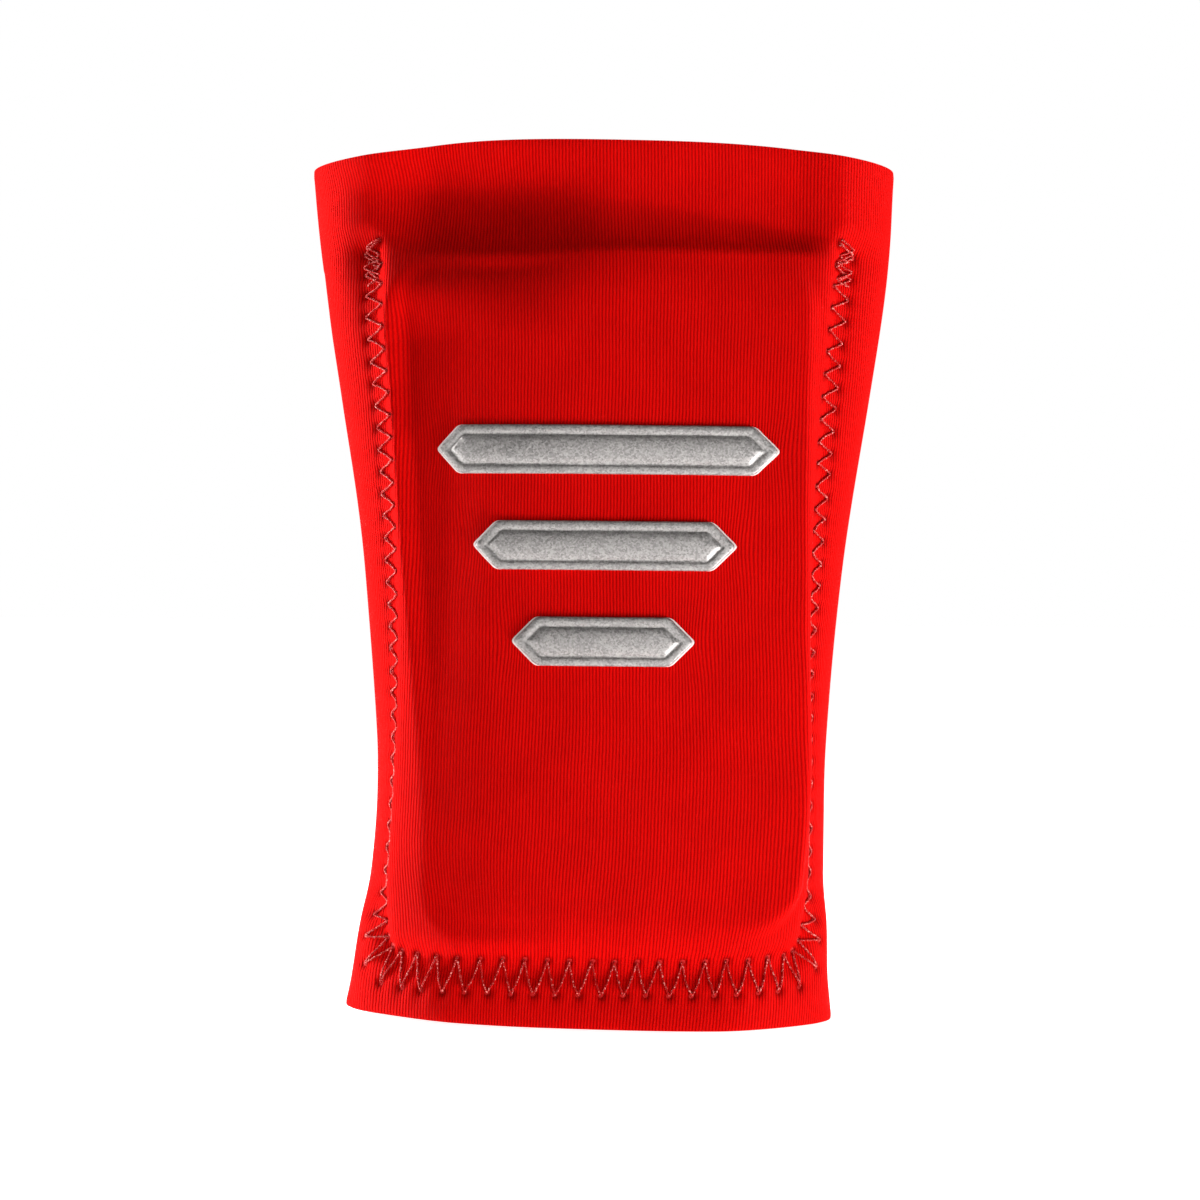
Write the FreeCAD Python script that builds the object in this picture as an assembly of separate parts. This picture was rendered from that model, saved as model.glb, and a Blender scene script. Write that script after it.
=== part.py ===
"""Slip-on forearm guard: a stretch laminate sleeve with a sewn pocket that holds a removable moulded shield.

Frame, in millimetres: +Z runs up the forearm from the wrist end to the elbow end, and -Y is the shielded front.
The origin is the middle of the flat wrist-end rim, so the guard stands on Z = 0.
"""
import FreeCAD, Part

import math
import os

from FreeCAD import Vector

# ---- sleeve: one laminate panel, closed by a butt seam down the middle of the back ----
SIDE_HEIGHT = 150.0  # rim height at the two sides
CROWN_RISE = 3.0  # how much higher the elbow-end rim is cut at the middle of the front and back
RIM_HALF_WIDTH = 52.0  # where the crown of the elbow-end rim starts, from the middle
BODY_BOTTOM = -6.0  # the lofts run from here to BODY_TOP before the rims are cut
BODY_TOP = 156.0
WIDTH_STATIONS = [  # (height, half width of the outside)
    (0, 43.6), (12, 42.0), (28, 41.0), (50, 40.9), (80, 43.2), (110, 47.3), (135, 50.8), (150, 52.0), (156, 52.2),
]
FRONT_STATIONS = [  # (height, depth of the outside in front of the axis)
    (0, 17.0), (8, 17.3), (13, 19.2), (20, 22.4), (28, 23.0), (70, 23.0), (124, 23.0), (130, 22.6),
    (137, 21.3), (143, 21.1), (150, 21.6), (156, 22.4),
]
BACK_STATIONS = [  # (height, depth of the outside behind the axis)
    (0, 17.0), (20, 16.0), (45, 15.8), (90, 18.6), (130, 22.4), (150, 23.6), (156, 23.8),
]
FRONT_FULLNESS = 2.7  # superellipse exponent of the front half of every section
BACK_FULLNESS = 2.3
SECTION_POINTS = 64
SECTION_STEP = 6.0  # height between two sections of a loft
FACE_KNIT = 0.4
FOAM_CORE = 1.0
LINING = 0.3
PLY_GAP = 0.03  # the bond line between two plies
WALL = FACE_KNIT + FOAM_CORE + LINING + 2 * PLY_GAP
SKIN_LIFT = 0.2  # the cut foam edge stands this far past both skins at the wrist-end rim
BUTT_GAP = 0.1  # width of the butt joint at the back

# ---- shield: a plate curved about a vertical axis ----
SHIELD_BOTTOM = 16.6
SHIELD_TOP = 132.4
SHIELD_HALF_WIDTH_TOP = 36.2
SHIELD_HALF_WIDTH_BOTTOM = 32.4
SHIELD_CORNER = 9.0
SHIELD_RADIUS = 110.0  # outside radius of its curve
SHIELD_FRONT_Y = -18.9  # the outside at the middle
SHIELD_THICKNESS = 6.4
COVER_FRONT = 0.5
COVER_BACK = 0.4
SHELL_THICKNESS = 2.6
COVER_EDGE = 0.6  # the covers' thickness round the edge
WELD_DEPTH = 3.2  # where the two covers meet round the edge, behind the outside
SHIELD_FRONT_ROUND = 2.4
SHIELD_BACK_ROUND = 3.0
SHIELD_GAP = 0.04  # between two layers of the shield

# ---- pocket: an inner panel sewn to the sleeve down both sides and across the bottom ----
POCKET_THICKNESS = 0.8
POCKET_MOUTH = 138.5
POCKET_BOTTOM = 5.6
POCKET_CORNER = 7.0
POCKET_CLEARANCE = 0.45  # behind the shield at the bottom of the pocket
MOUTH_EASE = 1.1  # extra clearance at the mouth
POCKET_SEWN_TO = 12.6  # below this height the panel lies flat on the sleeve
POCKET_FREE_FROM = 16.0  # above this height it runs behind the shield
POCKET_BOND = 0.15  # between the sleeve's lining and the panel
STEPS_BEHIND, STEPS_ROUND_EDGE, STEPS_TO_SEAM = 8, 5, 3  # of half a section of the panel
SEWN_STEP = 2.5  # height between two sections of the panel where it is sewn down
LIFT_STEP = 0.9  # and where it lifts off the sleeve
MOUTH_CORNER = 1.0
BINDING_DEPTH = 6.0
BINDING_THICKNESS = 0.35
BINDING_GAP = 0.08  # between the tape and the panel it is folded over
BINDING_STEP = 2.0

# ---- zigzag lockstitch that sews the pocket ----
SEAM_STATIONS = [  # (height, distance of the side seams from the middle)
    (5, 38.6), (24, 39.0), (56, 38.2), (84, 38.9), (109, 40.3), (137, 43.2), (150, 44.5),
]
SEAM_BOTTOM = 9.5
SEAM_TOP = 136.5
SEAM_CORNER = 7.0
ZIGZAG_HALF_WIDTH = 2.1
ZIGZAG_HALF_PERIOD = 1.9
THREAD_RADIUS = 0.17
THREAD_LIFT = 0.28  # how far the middle of a stitch stands off the fabric
THREAD_DIP = 0.35  # how far its ends dive into the fabric
STITCH_END_GAP = 0.55  # from a needle hole to the end of each of its two stitches
PATH_STEP = 0.5  # between two samples of the seam's path
CORNER_STEPS = 18
BACKTACK_HOLES = 5
BACKTACK_STEP = 1.0  # from one hole of the back-tack to the next, up the seam
BACKTACK_ABOVE = 1.6  # its first hole, above the end of the zigzag
BACKTACK_INSET = 0.4  # how much narrower it is than the zigzag, each side

# ---- flatlock that closes the back ----
FLATLOCK_HALF_WIDTH = 2.5
FLATLOCK_HALF_PERIOD = 1.6
FLATLOCK_MARGIN = 1.5  # from the rim to the first stitch

# ---- heat-pressed badge: three plain bars, one above another ----
BADGE_MIDDLE = 83.5
BAR_PITCH = 16.4
BAR_HEIGHT = 8.4
BAR_HALF_WIDTHS = {"top": 30.0, "middle": 23.0, "bottom": 16.0}
BAR_POINT = 4.2  # how far each end tapers
BAR_CORNER = 1.2
FILM_MARGIN = 0.4
FILM_THICKNESS = 0.12
BAR_BASE = 0.55
BAR_RAISED = 1.1
BAR_STEP = 1.0

# ---- care label in the back seam ----
LABEL_WIDTH = 14.0
LABEL_TOP = 141.0
LABEL_LENGTH = 20.0
LABEL_PLY = 0.22
LABEL_FOLD_GAP = 0.3
LABEL_CLEARANCE = 0.5  # between the label and the lining
LABEL_SEWN = 2.0  # how much of the label's top is caught together

PARTS_FOLDER = "parts"
TINY = 1e-6
ON_SURFACE = 1e-3  # how near a sampled point must be to count as on a surface
BEYOND = 70.0  # how far cutting blocks reach past the guard


# ---------------------------------------------------------------- shape of the sleeve
def along(stations, z):
    """A smooth value at height z, by cubic Hermite steps between (height, value) stations."""
    if z <= stations[0][0]:
        return float(stations[0][1])
    for i in range(len(stations) - 1):
        z0, v0 = stations[i]
        z1, v1 = stations[i + 1]
        if z <= z1:
            before = stations[max(i - 1, 0)]
            after = stations[min(i + 2, len(stations) - 1)]
            slope0 = (v1 - before[1]) / (z1 - before[0])
            slope1 = (after[1] - v0) / (after[0] - z0)
            h = z1 - z0
            t = (z - z0) / h
            return (
                v0 * (2 * t**3 - 3 * t**2 + 1)
                + h * slope0 * (t**3 - 2 * t**2 + t)
                + v1 * (3 * t**2 - 2 * t**3)
                + h * slope1 * (t**3 - t**2)
            )
    return float(stations[-1][1])


def wall_point(turn, z, inset=0.0):
    """A point of the sleeve's section at height z, inset mm inside its outside.

    turn is in radians: 0 is the middle of the front, pi/2 the +X side, pi the middle of the back.
    """
    a = along(WIDTH_STATIONS, z) - inset
    x_part = math.sin(turn)
    y_part = -math.cos(turn)
    front = y_part < 0
    b = along(FRONT_STATIONS if front else BACK_STATIONS, z) - inset
    n = FRONT_FULLNESS if front else BACK_FULLNESS
    size = (abs(x_part) ** n + abs(y_part) ** n) ** (1 / n)
    return Vector(a * x_part / size, b * y_part / size, z)


def wall_normal(turn, z):
    """The outward normal of the sleeve's outside."""
    step = 1e-3
    round_way = wall_point(turn + step, z) - wall_point(turn - step, z)
    up_way = wall_point(turn, z + 0.1) - wall_point(turn, z - 0.1)
    return round_way.cross(up_way).normalize()


def turn_at(x, z):
    """The turn, on the front half, at which the outside is x from the middle."""
    low, high = 0.0, math.pi / 2
    for _ in range(50):
        middle = (low + high) / 2
        if wall_point(middle, z).x < abs(x):
            low = middle
        else:
            high = middle
    return math.copysign(low, x)


def walk(turn, z, around, up):
    """(turn, z) after moving around mm along the section and up mm along Z, in small steps."""
    steps = 8
    for _ in range(steps):
        here = wall_point(turn, z)
        ahead = wall_point(turn + 1e-3, z)
        turn += around / steps / ((ahead - here).Length / 1e-3)
        z += up / steps
    return turn, z


def heights(low, high, step=SECTION_STEP):
    """Evenly spaced heights from low to high."""
    count = max(1, math.ceil((high - low) / step))
    return [low + (high - low) * i / count for i in range(count + 1)]


def closed_section(z, inset):
    points = [wall_point(2 * math.pi * i / SECTION_POINTS, z, inset) for i in range(SECTION_POINTS)]
    curve = Part.BSplineCurve()
    knots = [i / SECTION_POINTS for i in range(SECTION_POINTS + 1)]
    curve.interpolate(Points=points, PeriodicFlag=True, Parameters=knots)
    return Part.Wire([curve.toShape()])


def sleeve_body(inset):
    """A solid of the sleeve's outside, inset mm smaller all round."""
    return Part.makeLoft([closed_section(z, inset) for z in heights(BODY_BOTTOM, BODY_TOP)], True)


def elbow_rim_cutter(low):
    """A block along Y from height low up to the crowned elbow-end rim."""
    left_foot, right_foot = Vector(-BEYOND, -BEYOND, low), Vector(BEYOND, -BEYOND, low)
    left, right = Vector(-RIM_HALF_WIDTH, -BEYOND, SIDE_HEIGHT), Vector(RIM_HALF_WIDTH, -BEYOND, SIDE_HEIGHT)
    crown = Vector(0, -BEYOND, SIDE_HEIGHT + CROWN_RISE)
    far_left, far_right = Vector(-BEYOND, -BEYOND, SIDE_HEIGHT), Vector(BEYOND, -BEYOND, SIDE_HEIGHT)
    edges = [
        Part.LineSegment(left_foot, right_foot).toShape(),
        Part.LineSegment(right_foot, far_right).toShape(),
        Part.LineSegment(far_right, right).toShape(),
        Part.Arc(right, crown, left).toShape(),
        Part.LineSegment(left, far_left).toShape(),
        Part.LineSegment(far_left, left_foot).toShape(),
    ]
    return Part.Face(Part.Wire(edges)).extrude(Vector(0, 2 * BEYOND, 0))


def ply(outer_inset, thickness, low):
    """One ply of the laminate: a tube with the butt joint cut through its back."""
    tube = sleeve_body(outer_inset).cut(sleeve_body(outer_inset + thickness))
    tube = tube.common(elbow_rim_cutter(low))
    return tube.cut(Part.makeBox(BUTT_GAP, BEYOND, 4 * BEYOND, Vector(-BUTT_GAP / 2, 0, -BEYOND)))


# ---------------------------------------------------------------- outlines and curved plates
def extruded_outline(points, radii, y_to=0.0):
    """A prism along Y, up to y_to, with the outline (x, z) points, each corner rounded by its radius."""
    edges, ends = [], []
    count = len(points)
    for i, (point, radius) in enumerate(zip(points, radii)):
        here = Vector(point[0], -BEYOND, point[1])
        before, after = points[i - 1], points[(i + 1) % count]
        towards_before = (Vector(before[0], -BEYOND, before[1]) - here).normalize()
        towards_after = (Vector(after[0], -BEYOND, after[1]) - here).normalize()
        half = towards_before.getAngle(towards_after) / 2
        back = radius / math.tan(half)
        start, end = here + towards_before * back, here + towards_after * back
        bisector = (towards_before + towards_after).normalize()
        middle = here + bisector * (radius / math.sin(half) - radius)
        edges.append(Part.Arc(start, middle, end).toShape())
        ends.append((start, end))
    sides = [
        Part.LineSegment(ends[i][1], ends[(i + 1) % count][0]).toShape()
        for i in range(count)
        if (ends[i][1] - ends[(i + 1) % count][0]).Length > TINY
    ]
    wire = Part.Wire(Part.__sortEdges__(edges + sides))
    return Part.Face(wire).extrude(Vector(0, y_to + BEYOND, 0))


def shield_prism(inset):
    """The shield's outline, inset mm inside its edge, as a prism along Y."""
    wide, narrow = SHIELD_HALF_WIDTH_TOP - inset, SHIELD_HALF_WIDTH_BOTTOM - inset
    low, high = SHIELD_BOTTOM + inset, SHIELD_TOP - inset
    corner = SHIELD_CORNER - inset
    return extruded_outline([(-narrow, low), (narrow, low), (wide, high), (-wide, high)], [corner] * 4)


def shield_cylinder(depth):
    """A solid of everything more than depth behind the shield's outside."""
    centre = Vector(0, SHIELD_FRONT_Y + SHIELD_RADIUS, -BEYOND)
    return Part.makeCylinder(SHIELD_RADIUS - depth, 4 * BEYOND, centre)


def shield_blank(front, back, inset, front_round, back_round):
    """A curved plate from front to back mm behind the shield's outside, with both edges rounded."""
    plate = shield_prism(inset).common(shield_cylinder(front)).cut(shield_cylinder(back))
    plate = plate.makeFillet(front_round, [e for e in plate.Edges if on_shield_cylinder(e, front)])
    return plate.makeFillet(back_round, [e for e in plate.Edges if on_shield_cylinder(e, back)])


def on_shield_cylinder(edge, depth):
    """True if every sampled point of the edge lies depth behind the shield's outside."""
    centre_y = SHIELD_FRONT_Y + SHIELD_RADIUS
    first, last = edge.ParameterRange
    for share in (0.1, 0.5, 0.9):
        p = edge.valueAt(first + share * (last - first))
        if abs(math.hypot(p.x, p.y - centre_y) - (SHIELD_RADIUS - depth)) > ON_SURFACE:
            return False
    return True


def shield_half_width(z):
    share = (z - SHIELD_BOTTOM) / (SHIELD_TOP - SHIELD_BOTTOM)
    share = min(max(share, 0.0), 1.0)
    return SHIELD_HALF_WIDTH_BOTTOM + share * (SHIELD_HALF_WIDTH_TOP - SHIELD_HALF_WIDTH_BOTTOM)


def between(blank, front, back):
    """The part of a blank from front to back mm behind the shield's outside."""
    return blank.common(shield_cylinder(front)).cut(shield_cylinder(back))


def shield_parts():
    """The four layers of the shield: two covers welded round the edge, and a shell backed by foam inside them."""
    outside = shield_blank(0.0, SHIELD_THICKNESS, 0.0, SHIELD_FRONT_ROUND, SHIELD_BACK_ROUND)
    hollow = shield_blank(
        COVER_FRONT, SHIELD_THICKNESS - COVER_BACK, COVER_EDGE,
        SHIELD_FRONT_ROUND - COVER_EDGE, SHIELD_BACK_ROUND - COVER_EDGE,
    )
    filling = shield_blank(
        COVER_FRONT + SHIELD_GAP, SHIELD_THICKNESS - COVER_BACK - SHIELD_GAP, COVER_EDGE + SHIELD_GAP,
        SHIELD_FRONT_ROUND - COVER_EDGE - SHIELD_GAP, SHIELD_BACK_ROUND - COVER_EDGE - SHIELD_GAP,
    )
    skin = outside.cut(hollow)
    shell_back = COVER_FRONT + SHIELD_GAP + SHELL_THICKNESS
    return {
        "shield_front_cover": between(skin, -SHIELD_THICKNESS, WELD_DEPTH),
        "shield_back_cover": between(skin, WELD_DEPTH + SHIELD_GAP, 2 * SHIELD_THICKNESS),
        "shield_shell": between(filling, 0.0, shell_back),
        "shield_foam": between(filling, shell_back + SHIELD_GAP, SHIELD_THICKNESS),
    }


# ---------------------------------------------------------------- pocket
def smooth_share(z, low, high):
    t = min(max((z - low) / (high - low), 0.0), 1.0)
    return t * t * (3 - 2 * t)


def mouth_ease(z):
    """How much further than its clearance the panel stands behind the shield, growing to the mouth."""
    return MOUTH_EASE * min(max((z - SHIELD_BOTTOM) / (POCKET_MOUTH - SHIELD_BOTTOM), 0.0), 1.0)


def free_half(z):
    """The panel's middle line where it holds the shield: behind it, round its edge, and straight to the seam."""
    stand_off = POCKET_CLEARANCE + mouth_ease(z) + POCKET_THICKNESS / 2
    axis_y = SHIELD_FRONT_Y + SHIELD_RADIUS
    edge_x = shield_half_width(z) - SHIELD_BACK_ROUND
    edge_radius = SHIELD_RADIUS - SHIELD_THICKNESS + SHIELD_BACK_ROUND
    edge = Vector(edge_x, axis_y - math.sqrt(edge_radius**2 - edge_x**2), z)
    seam_turn = turn_at(along(SEAM_STATIONS, z), z)
    end = wall_point(seam_turn, z, WALL + 2 * POCKET_BOND + POCKET_THICKNESS)
    reach = SHIELD_BACK_ROUND + stand_off
    to_end = end - edge
    last = math.atan2(to_end.y, to_end.x) + math.acos(reach / to_end.Length)
    first = math.atan2(axis_y - edge.y, -edge.x)
    behind_radius = SHIELD_RADIUS - SHIELD_THICKNESS - stand_off
    line = []
    for i in range(STEPS_BEHIND):
        lean = (math.pi / 2 - first) * i / STEPS_BEHIND
        line.append(Vector(-behind_radius * math.sin(lean), axis_y - behind_radius * math.cos(lean), z))
    for i in range(STEPS_ROUND_EDGE + 1):
        angle = first + (last - first) * i / STEPS_ROUND_EDGE
        line.append(edge + Vector(math.cos(angle), math.sin(angle), 0) * reach)
    tangent = line[-1]
    return line + [tangent + (end - tangent) * ((i + 1) / STEPS_TO_SEAM) for i in range(STEPS_TO_SEAM)]


def distances(line):
    run = [0.0]
    for p, q in zip(line, line[1:]):
        run.append(run[-1] + (q - p).Length)
    return run


def flat_half(z, share_of_way):
    """The panel's middle line where it lies flat on the sleeve, at the given shares of its length."""
    seam_turn = turn_at(along(SEAM_STATIONS, z), z)
    samples = 80
    inset = WALL + POCKET_BOND + POCKET_THICKNESS / 2
    line = [wall_point(seam_turn * i / samples, z, inset) for i in range(samples + 1)]
    run = distances(line)
    points, i = [], 0
    for share in share_of_way:
        target = run[-1] * share
        while i < samples - 1 and run[i + 1] < target:
            i += 1
        points.append(line[i] + (line[i + 1] - line[i]) * ((target - run[i]) / (run[i + 1] - run[i])))
    return points


def pocket_half(z):
    """Points of the pocket panel's middle line at height z, from its middle to its +X edge."""
    free = free_half(z)
    run = distances(free)
    flat = flat_half(z, [r / run[-1] for r in run])
    share = smooth_share(z, POCKET_SEWN_TO, POCKET_FREE_FROM)
    return [f * (1 - share) + p * share for f, p in zip(flat, free)]


def line_knots(half):
    """Curve parameters that suit half and its mirror image."""
    run = distances(half)
    ahead = [0.5 + 0.5 * r / run[-1] for r in run]
    return [1 - k for k in reversed(ahead[1:])] + ahead


def sheet_section(half, thickness, knots):
    """A closed wire round a sheet of that thickness whose middle line is half and its mirror image."""
    z = half[0].z
    line = [Vector(-p.x, p.y, z) for p in reversed(half[1:])] + half
    middle = Part.BSplineCurve()
    middle.interpolate(Points=line, Parameters=knots)
    front, back = [], []
    for u in knots:
        p = middle.value(u)
        tangent = middle.tangent(u)[0]
        out = Vector(tangent.y, -tangent.x, 0).normalize() * (thickness / 2)
        front.append(p + out)
        back.append(p - out)
    sides = []
    for points, parameters in ((front, knots), (back[::-1], [1 - k for k in reversed(knots)])):
        curve = Part.BSplineCurve()
        curve.interpolate(Points=points, Parameters=parameters)
        sides.append(curve.toShape())
    far_end = Part.LineSegment(front[-1], back[-1]).toShape()
    near_end = Part.LineSegment(back[0], front[0]).toShape()
    return Part.Wire([sides[0], far_end, sides[1], near_end])


def sheet_loft(stack, thickness, leave_off=0):
    """A solid sheet through the pocket's middle lines at the heights of stack."""
    halves = [pocket_half(z) for z in stack]
    if leave_off:
        halves = [half[:-leave_off] for half in halves]
    knots = line_knots(halves[-1])
    return Part.makeLoft([sheet_section(half, thickness, knots) for half in halves], True)


def pocket_heights(low, high):
    return (
        heights(low, POCKET_SEWN_TO, SEWN_STEP)[:-1]
        + heights(POCKET_SEWN_TO, POCKET_FREE_FROM, LIFT_STEP)[:-1]
        + heights(POCKET_FREE_FROM, high)
    )


def pocket_panel():
    panel = sheet_loft(pocket_heights(POCKET_BOTTOM, POCKET_MOUTH), POCKET_THICKNESS)
    edge = along(SEAM_STATIONS, POCKET_BOTTOM)
    keep = extruded_outline(
        [(-edge, POCKET_BOTTOM), (edge, POCKET_BOTTOM), (edge, 2 * BEYOND), (-edge, 2 * BEYOND)],
        [POCKET_CORNER, POCKET_CORNER, MOUTH_CORNER, MOUTH_CORNER],
    )
    corner_top = Vector(-BEYOND, -BEYOND, POCKET_BOTTOM + POCKET_CORNER + MOUTH_CORNER)
    above = Part.makeBox(2 * BEYOND, 2 * BEYOND, 3 * BEYOND, corner_top)
    return panel.common(keep.fuse(above))


def pocket_mouth_binding():
    """An elastic tape folded over the panel's top edge, from one side of the shield to the other."""
    low, high = POCKET_MOUTH - BINDING_DEPTH, POCKET_MOUTH + BINDING_GAP + BINDING_THICKNESS
    slot_thickness = POCKET_THICKNESS + 2 * BINDING_GAP
    outer_thickness = slot_thickness + 2 * BINDING_THICKNESS
    outer = sheet_loft(heights(low, high, BINDING_STEP), outer_thickness, leave_off=STEPS_TO_SEAM)
    slot = sheet_loft(heights(low - BINDING_STEP, POCKET_MOUTH + BINDING_GAP, BINDING_STEP), slot_thickness)
    return outer.cut(slot)


# ---------------------------------------------------------------- stitches
def seam_path(step):
    """Points (x, z, tangent x, tangent z) of the pocket seam: down one side, along the bottom, up the other."""
    corner_x = along(SEAM_STATIONS, SEAM_BOTTOM + SEAM_CORNER) - SEAM_CORNER
    corner_z = SEAM_BOTTOM + SEAM_CORNER
    half = []
    z = SEAM_TOP
    while z > corner_z:
        half.append((along(SEAM_STATIONS, z), z))
        z -= PATH_STEP
    for i in range(CORNER_STEPS + 1):
        angle = math.pi / 2 * i / CORNER_STEPS
        half.append((corner_x + SEAM_CORNER * math.cos(angle), corner_z - SEAM_CORNER * math.sin(angle)))
    x = corner_x - PATH_STEP
    while x > 0:
        half.append((x, SEAM_BOTTOM))
        x -= PATH_STEP
    line = [(-x, z) for x, z in half] + [(0.0, SEAM_BOTTOM)] + list(reversed(half))
    return evenly(line, step)


def evenly(line, step):
    """(x, z, tangent x, tangent z) at equal distances along the front of the sleeve, near the points of line."""
    solid = [wall_point(turn_at(x, z), z) for x, z in line]
    run = [0.0]
    for p, q in zip(solid, solid[1:]):
        run.append(run[-1] + (q - p).Length)
    count = max(2, round(run[-1] / step))
    found, i = [], 0
    for k in range(count + 1):
        target = run[-1] * k / count
        while i < len(run) - 2 and run[i + 1] < target:
            i += 1
        share = (target - run[i]) / (run[i + 1] - run[i])
        (x0, z0), (x1, z1) = line[i], line[i + 1]
        length = (solid[i + 1] - solid[i]).Length
        found.append((x0 + share * (x1 - x0), z0 + share * (z1 - z0), (x1 - x0) / length, (z1 - z0) / length))
    return found


def zigzag_holes(path, half_width):
    """The (turn, z) of the needle holes: alternately left and right of the path."""
    holes = []
    for i, (x, z, _, tangent_z) in enumerate(path):
        side = half_width if i % 2 else -half_width
        up = -side * (1 - min(1.0, abs(tangent_z))) if z < SEAM_BOTTOM + SEAM_CORNER else 0.0
        outward = side * math.copysign(min(1.0, abs(tangent_z)), x)
        turn, height = walk(turn_at(x, z), z, outward, up)
        holes.append((turn, height))
    return holes


def inside_face(z):
    """How far inside the sleeve's outside a stitch lies: on the pocket panel at the bottom, else on the lining."""
    return WALL + (POCKET_BOND + POCKET_THICKNESS) * (1 - smooth_share(z, POCKET_SEWN_TO, POCKET_FREE_FROM))


def stitch(hole_a, hole_b, inset_at, lift):
    """One stitch as a bent thread: its ends dive into the fabric, and its middle stands off it by lift."""
    inset = inset_at((hole_a[1] + hole_b[1]) / 2)
    a, b = wall_point(*hole_a, inset), wall_point(*hole_b, inset)
    normal = (wall_normal(*hole_a) + wall_normal(*hole_b)).normalize()
    outward = 1.0 if lift > 0 else -1.0
    along_way = (b - a).normalize()
    start = a + along_way * STITCH_END_GAP - normal * (THREAD_DIP * outward)
    end = b - along_way * STITCH_END_GAP - normal * (THREAD_DIP * outward)
    turn, z = (hole_a[0] + hole_b[0]) / 2, (hole_a[1] + hole_b[1]) / 2
    middle = wall_point(turn, z, inset) + wall_normal(turn, z) * lift
    arc = Part.Arc(start, middle, end)
    tangent = arc.tangent(arc.FirstParameter)[0]
    ring = Part.Wire([Part.Circle(start, tangent, THREAD_RADIUS).toShape()])
    return Part.Wire([arc.toShape()]).makePipeShell([ring], True, True)


def outside_row(holes):
    return Part.makeCompound([stitch(a, b, lambda z: 0.0, THREAD_LIFT) for a, b in zip(holes, holes[1:])])


def inside_row(holes, inset_at):
    return Part.makeCompound([stitch(a, b, inset_at, -THREAD_LIFT) for a, b in zip(holes, holes[1:])])


def backtack_holes(side):
    """Straight lock-off stitches beside the end of a side seam, clear of the zigzag."""
    holes = []
    z = SEAM_TOP + BACKTACK_ABOVE
    for i in range(BACKTACK_HOLES):
        x = side * (along(SEAM_STATIONS, z) + (ZIGZAG_HALF_WIDTH - BACKTACK_INSET) * (1 if i % 2 else -1))
        holes.append((turn_at(x, z), z))
        z += BACKTACK_STEP
    return holes


def flatlock_holes():
    low, high = FLATLOCK_MARGIN, SIDE_HEIGHT + CROWN_RISE - FLATLOCK_MARGIN
    count = round((high - low) / FLATLOCK_HALF_PERIOD)
    holes = []
    for i in range(count + 1):
        z = low + (high - low) * i / count
        side = FLATLOCK_HALF_WIDTH if i % 2 else -FLATLOCK_HALF_WIDTH
        holes.append(walk(math.pi, z, side, 0))
    return holes


# ---------------------------------------------------------------- badge and label
def bar_prism(half_width, middle, margin):
    """A long hexagon with blunt ends, as a prism along Y through the sleeve's front."""
    half_height = BAR_HEIGHT / 2 + margin
    wide = half_width + margin
    shoulder = wide - BAR_POINT
    points = [
        (-shoulder, middle - half_height), (shoulder, middle - half_height),
        (wide, middle), (shoulder, middle + half_height),
        (-shoulder, middle + half_height), (-wide, middle),
    ]
    return extruded_outline(points, [BAR_CORNER] * 6)


def raised_plate(prism, low, high):
    """The part of the prism from low to high mm outside the sleeve's outside."""
    return prism.common(sleeve_body(-high)).cut(sleeve_body(-low))


def badge_parts():
    parts = {}
    for i, (name, half_width) in enumerate(BAR_HALF_WIDTHS.items()):
        middle = BADGE_MIDDLE + BAR_PITCH * (1 - i)
        film_prism = bar_prism(half_width, middle, FILM_MARGIN)
        parts["badge_film_" + name] = raised_plate(film_prism, PLY_GAP, PLY_GAP + FILM_THICKNESS)
        foot = 2 * PLY_GAP + FILM_THICKNESS
        base = raised_plate(bar_prism(half_width, middle, 0.0), foot, BAR_BASE)
        top = raised_plate(bar_prism(half_width, middle, -BAR_STEP), foot, BAR_RAISED)
        parts["badge_bar_" + name] = base.fuse(top)
    return parts


def care_label():
    """A blank satin loop that hangs inside the back, caught at its top in the closing seam."""
    depth_top = along(BACK_STATIONS, LABEL_TOP) - WALL - LABEL_CLEARANCE
    depth_foot = along(BACK_STATIONS, LABEL_TOP - LABEL_LENGTH) - WALL - LABEL_CLEARANCE
    lean = math.degrees(math.atan2(depth_top - depth_foot, LABEL_LENGTH))
    thick = 2 * LABEL_PLY + LABEL_FOLD_GAP
    outer = Part.makeBox(LABEL_WIDTH, thick, LABEL_LENGTH, Vector(-LABEL_WIDTH / 2, -thick, -LABEL_LENGTH))
    slot_corner = Vector(-LABEL_WIDTH, -thick + LABEL_PLY, -LABEL_LENGTH + LABEL_PLY)
    slot = Part.makeBox(2 * LABEL_WIDTH, LABEL_FOLD_GAP, LABEL_LENGTH - LABEL_PLY - LABEL_SEWN, slot_corner)
    label = outer.cut(slot)
    label.rotate(Vector(0, 0, 0), Vector(1, 0, 0), -lean)
    label.translate(Vector(0, depth_top, LABEL_TOP))
    return label


# ---------------------------------------------------------------- all parts
def sleeve_parts():
    core_inset = FACE_KNIT + PLY_GAP
    lining_inset = core_inset + FOAM_CORE + PLY_GAP
    return {
        "sleeve_face_knit": ply(0.0, FACE_KNIT, SKIN_LIFT),
        "sleeve_foam_core": ply(core_inset, FOAM_CORE, 0.0),
        "sleeve_lining": ply(lining_inset, LINING, SKIN_LIFT),
    }


def thread_parts():
    seam = zigzag_holes(seam_path(ZIGZAG_HALF_PERIOD), ZIGZAG_HALF_WIDTH)
    flatlock = flatlock_holes()
    return {
        "pocket_seam_needle_thread": outside_row(seam),
        "pocket_seam_bobbin_thread": inside_row(seam, inside_face),
        "backtack_left": outside_row(backtack_holes(-1)),
        "backtack_right": outside_row(backtack_holes(1)),
        "back_seam_cover_thread": outside_row(flatlock),
        "back_seam_looper_thread": inside_row(flatlock, lambda z: WALL),
    }


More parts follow.
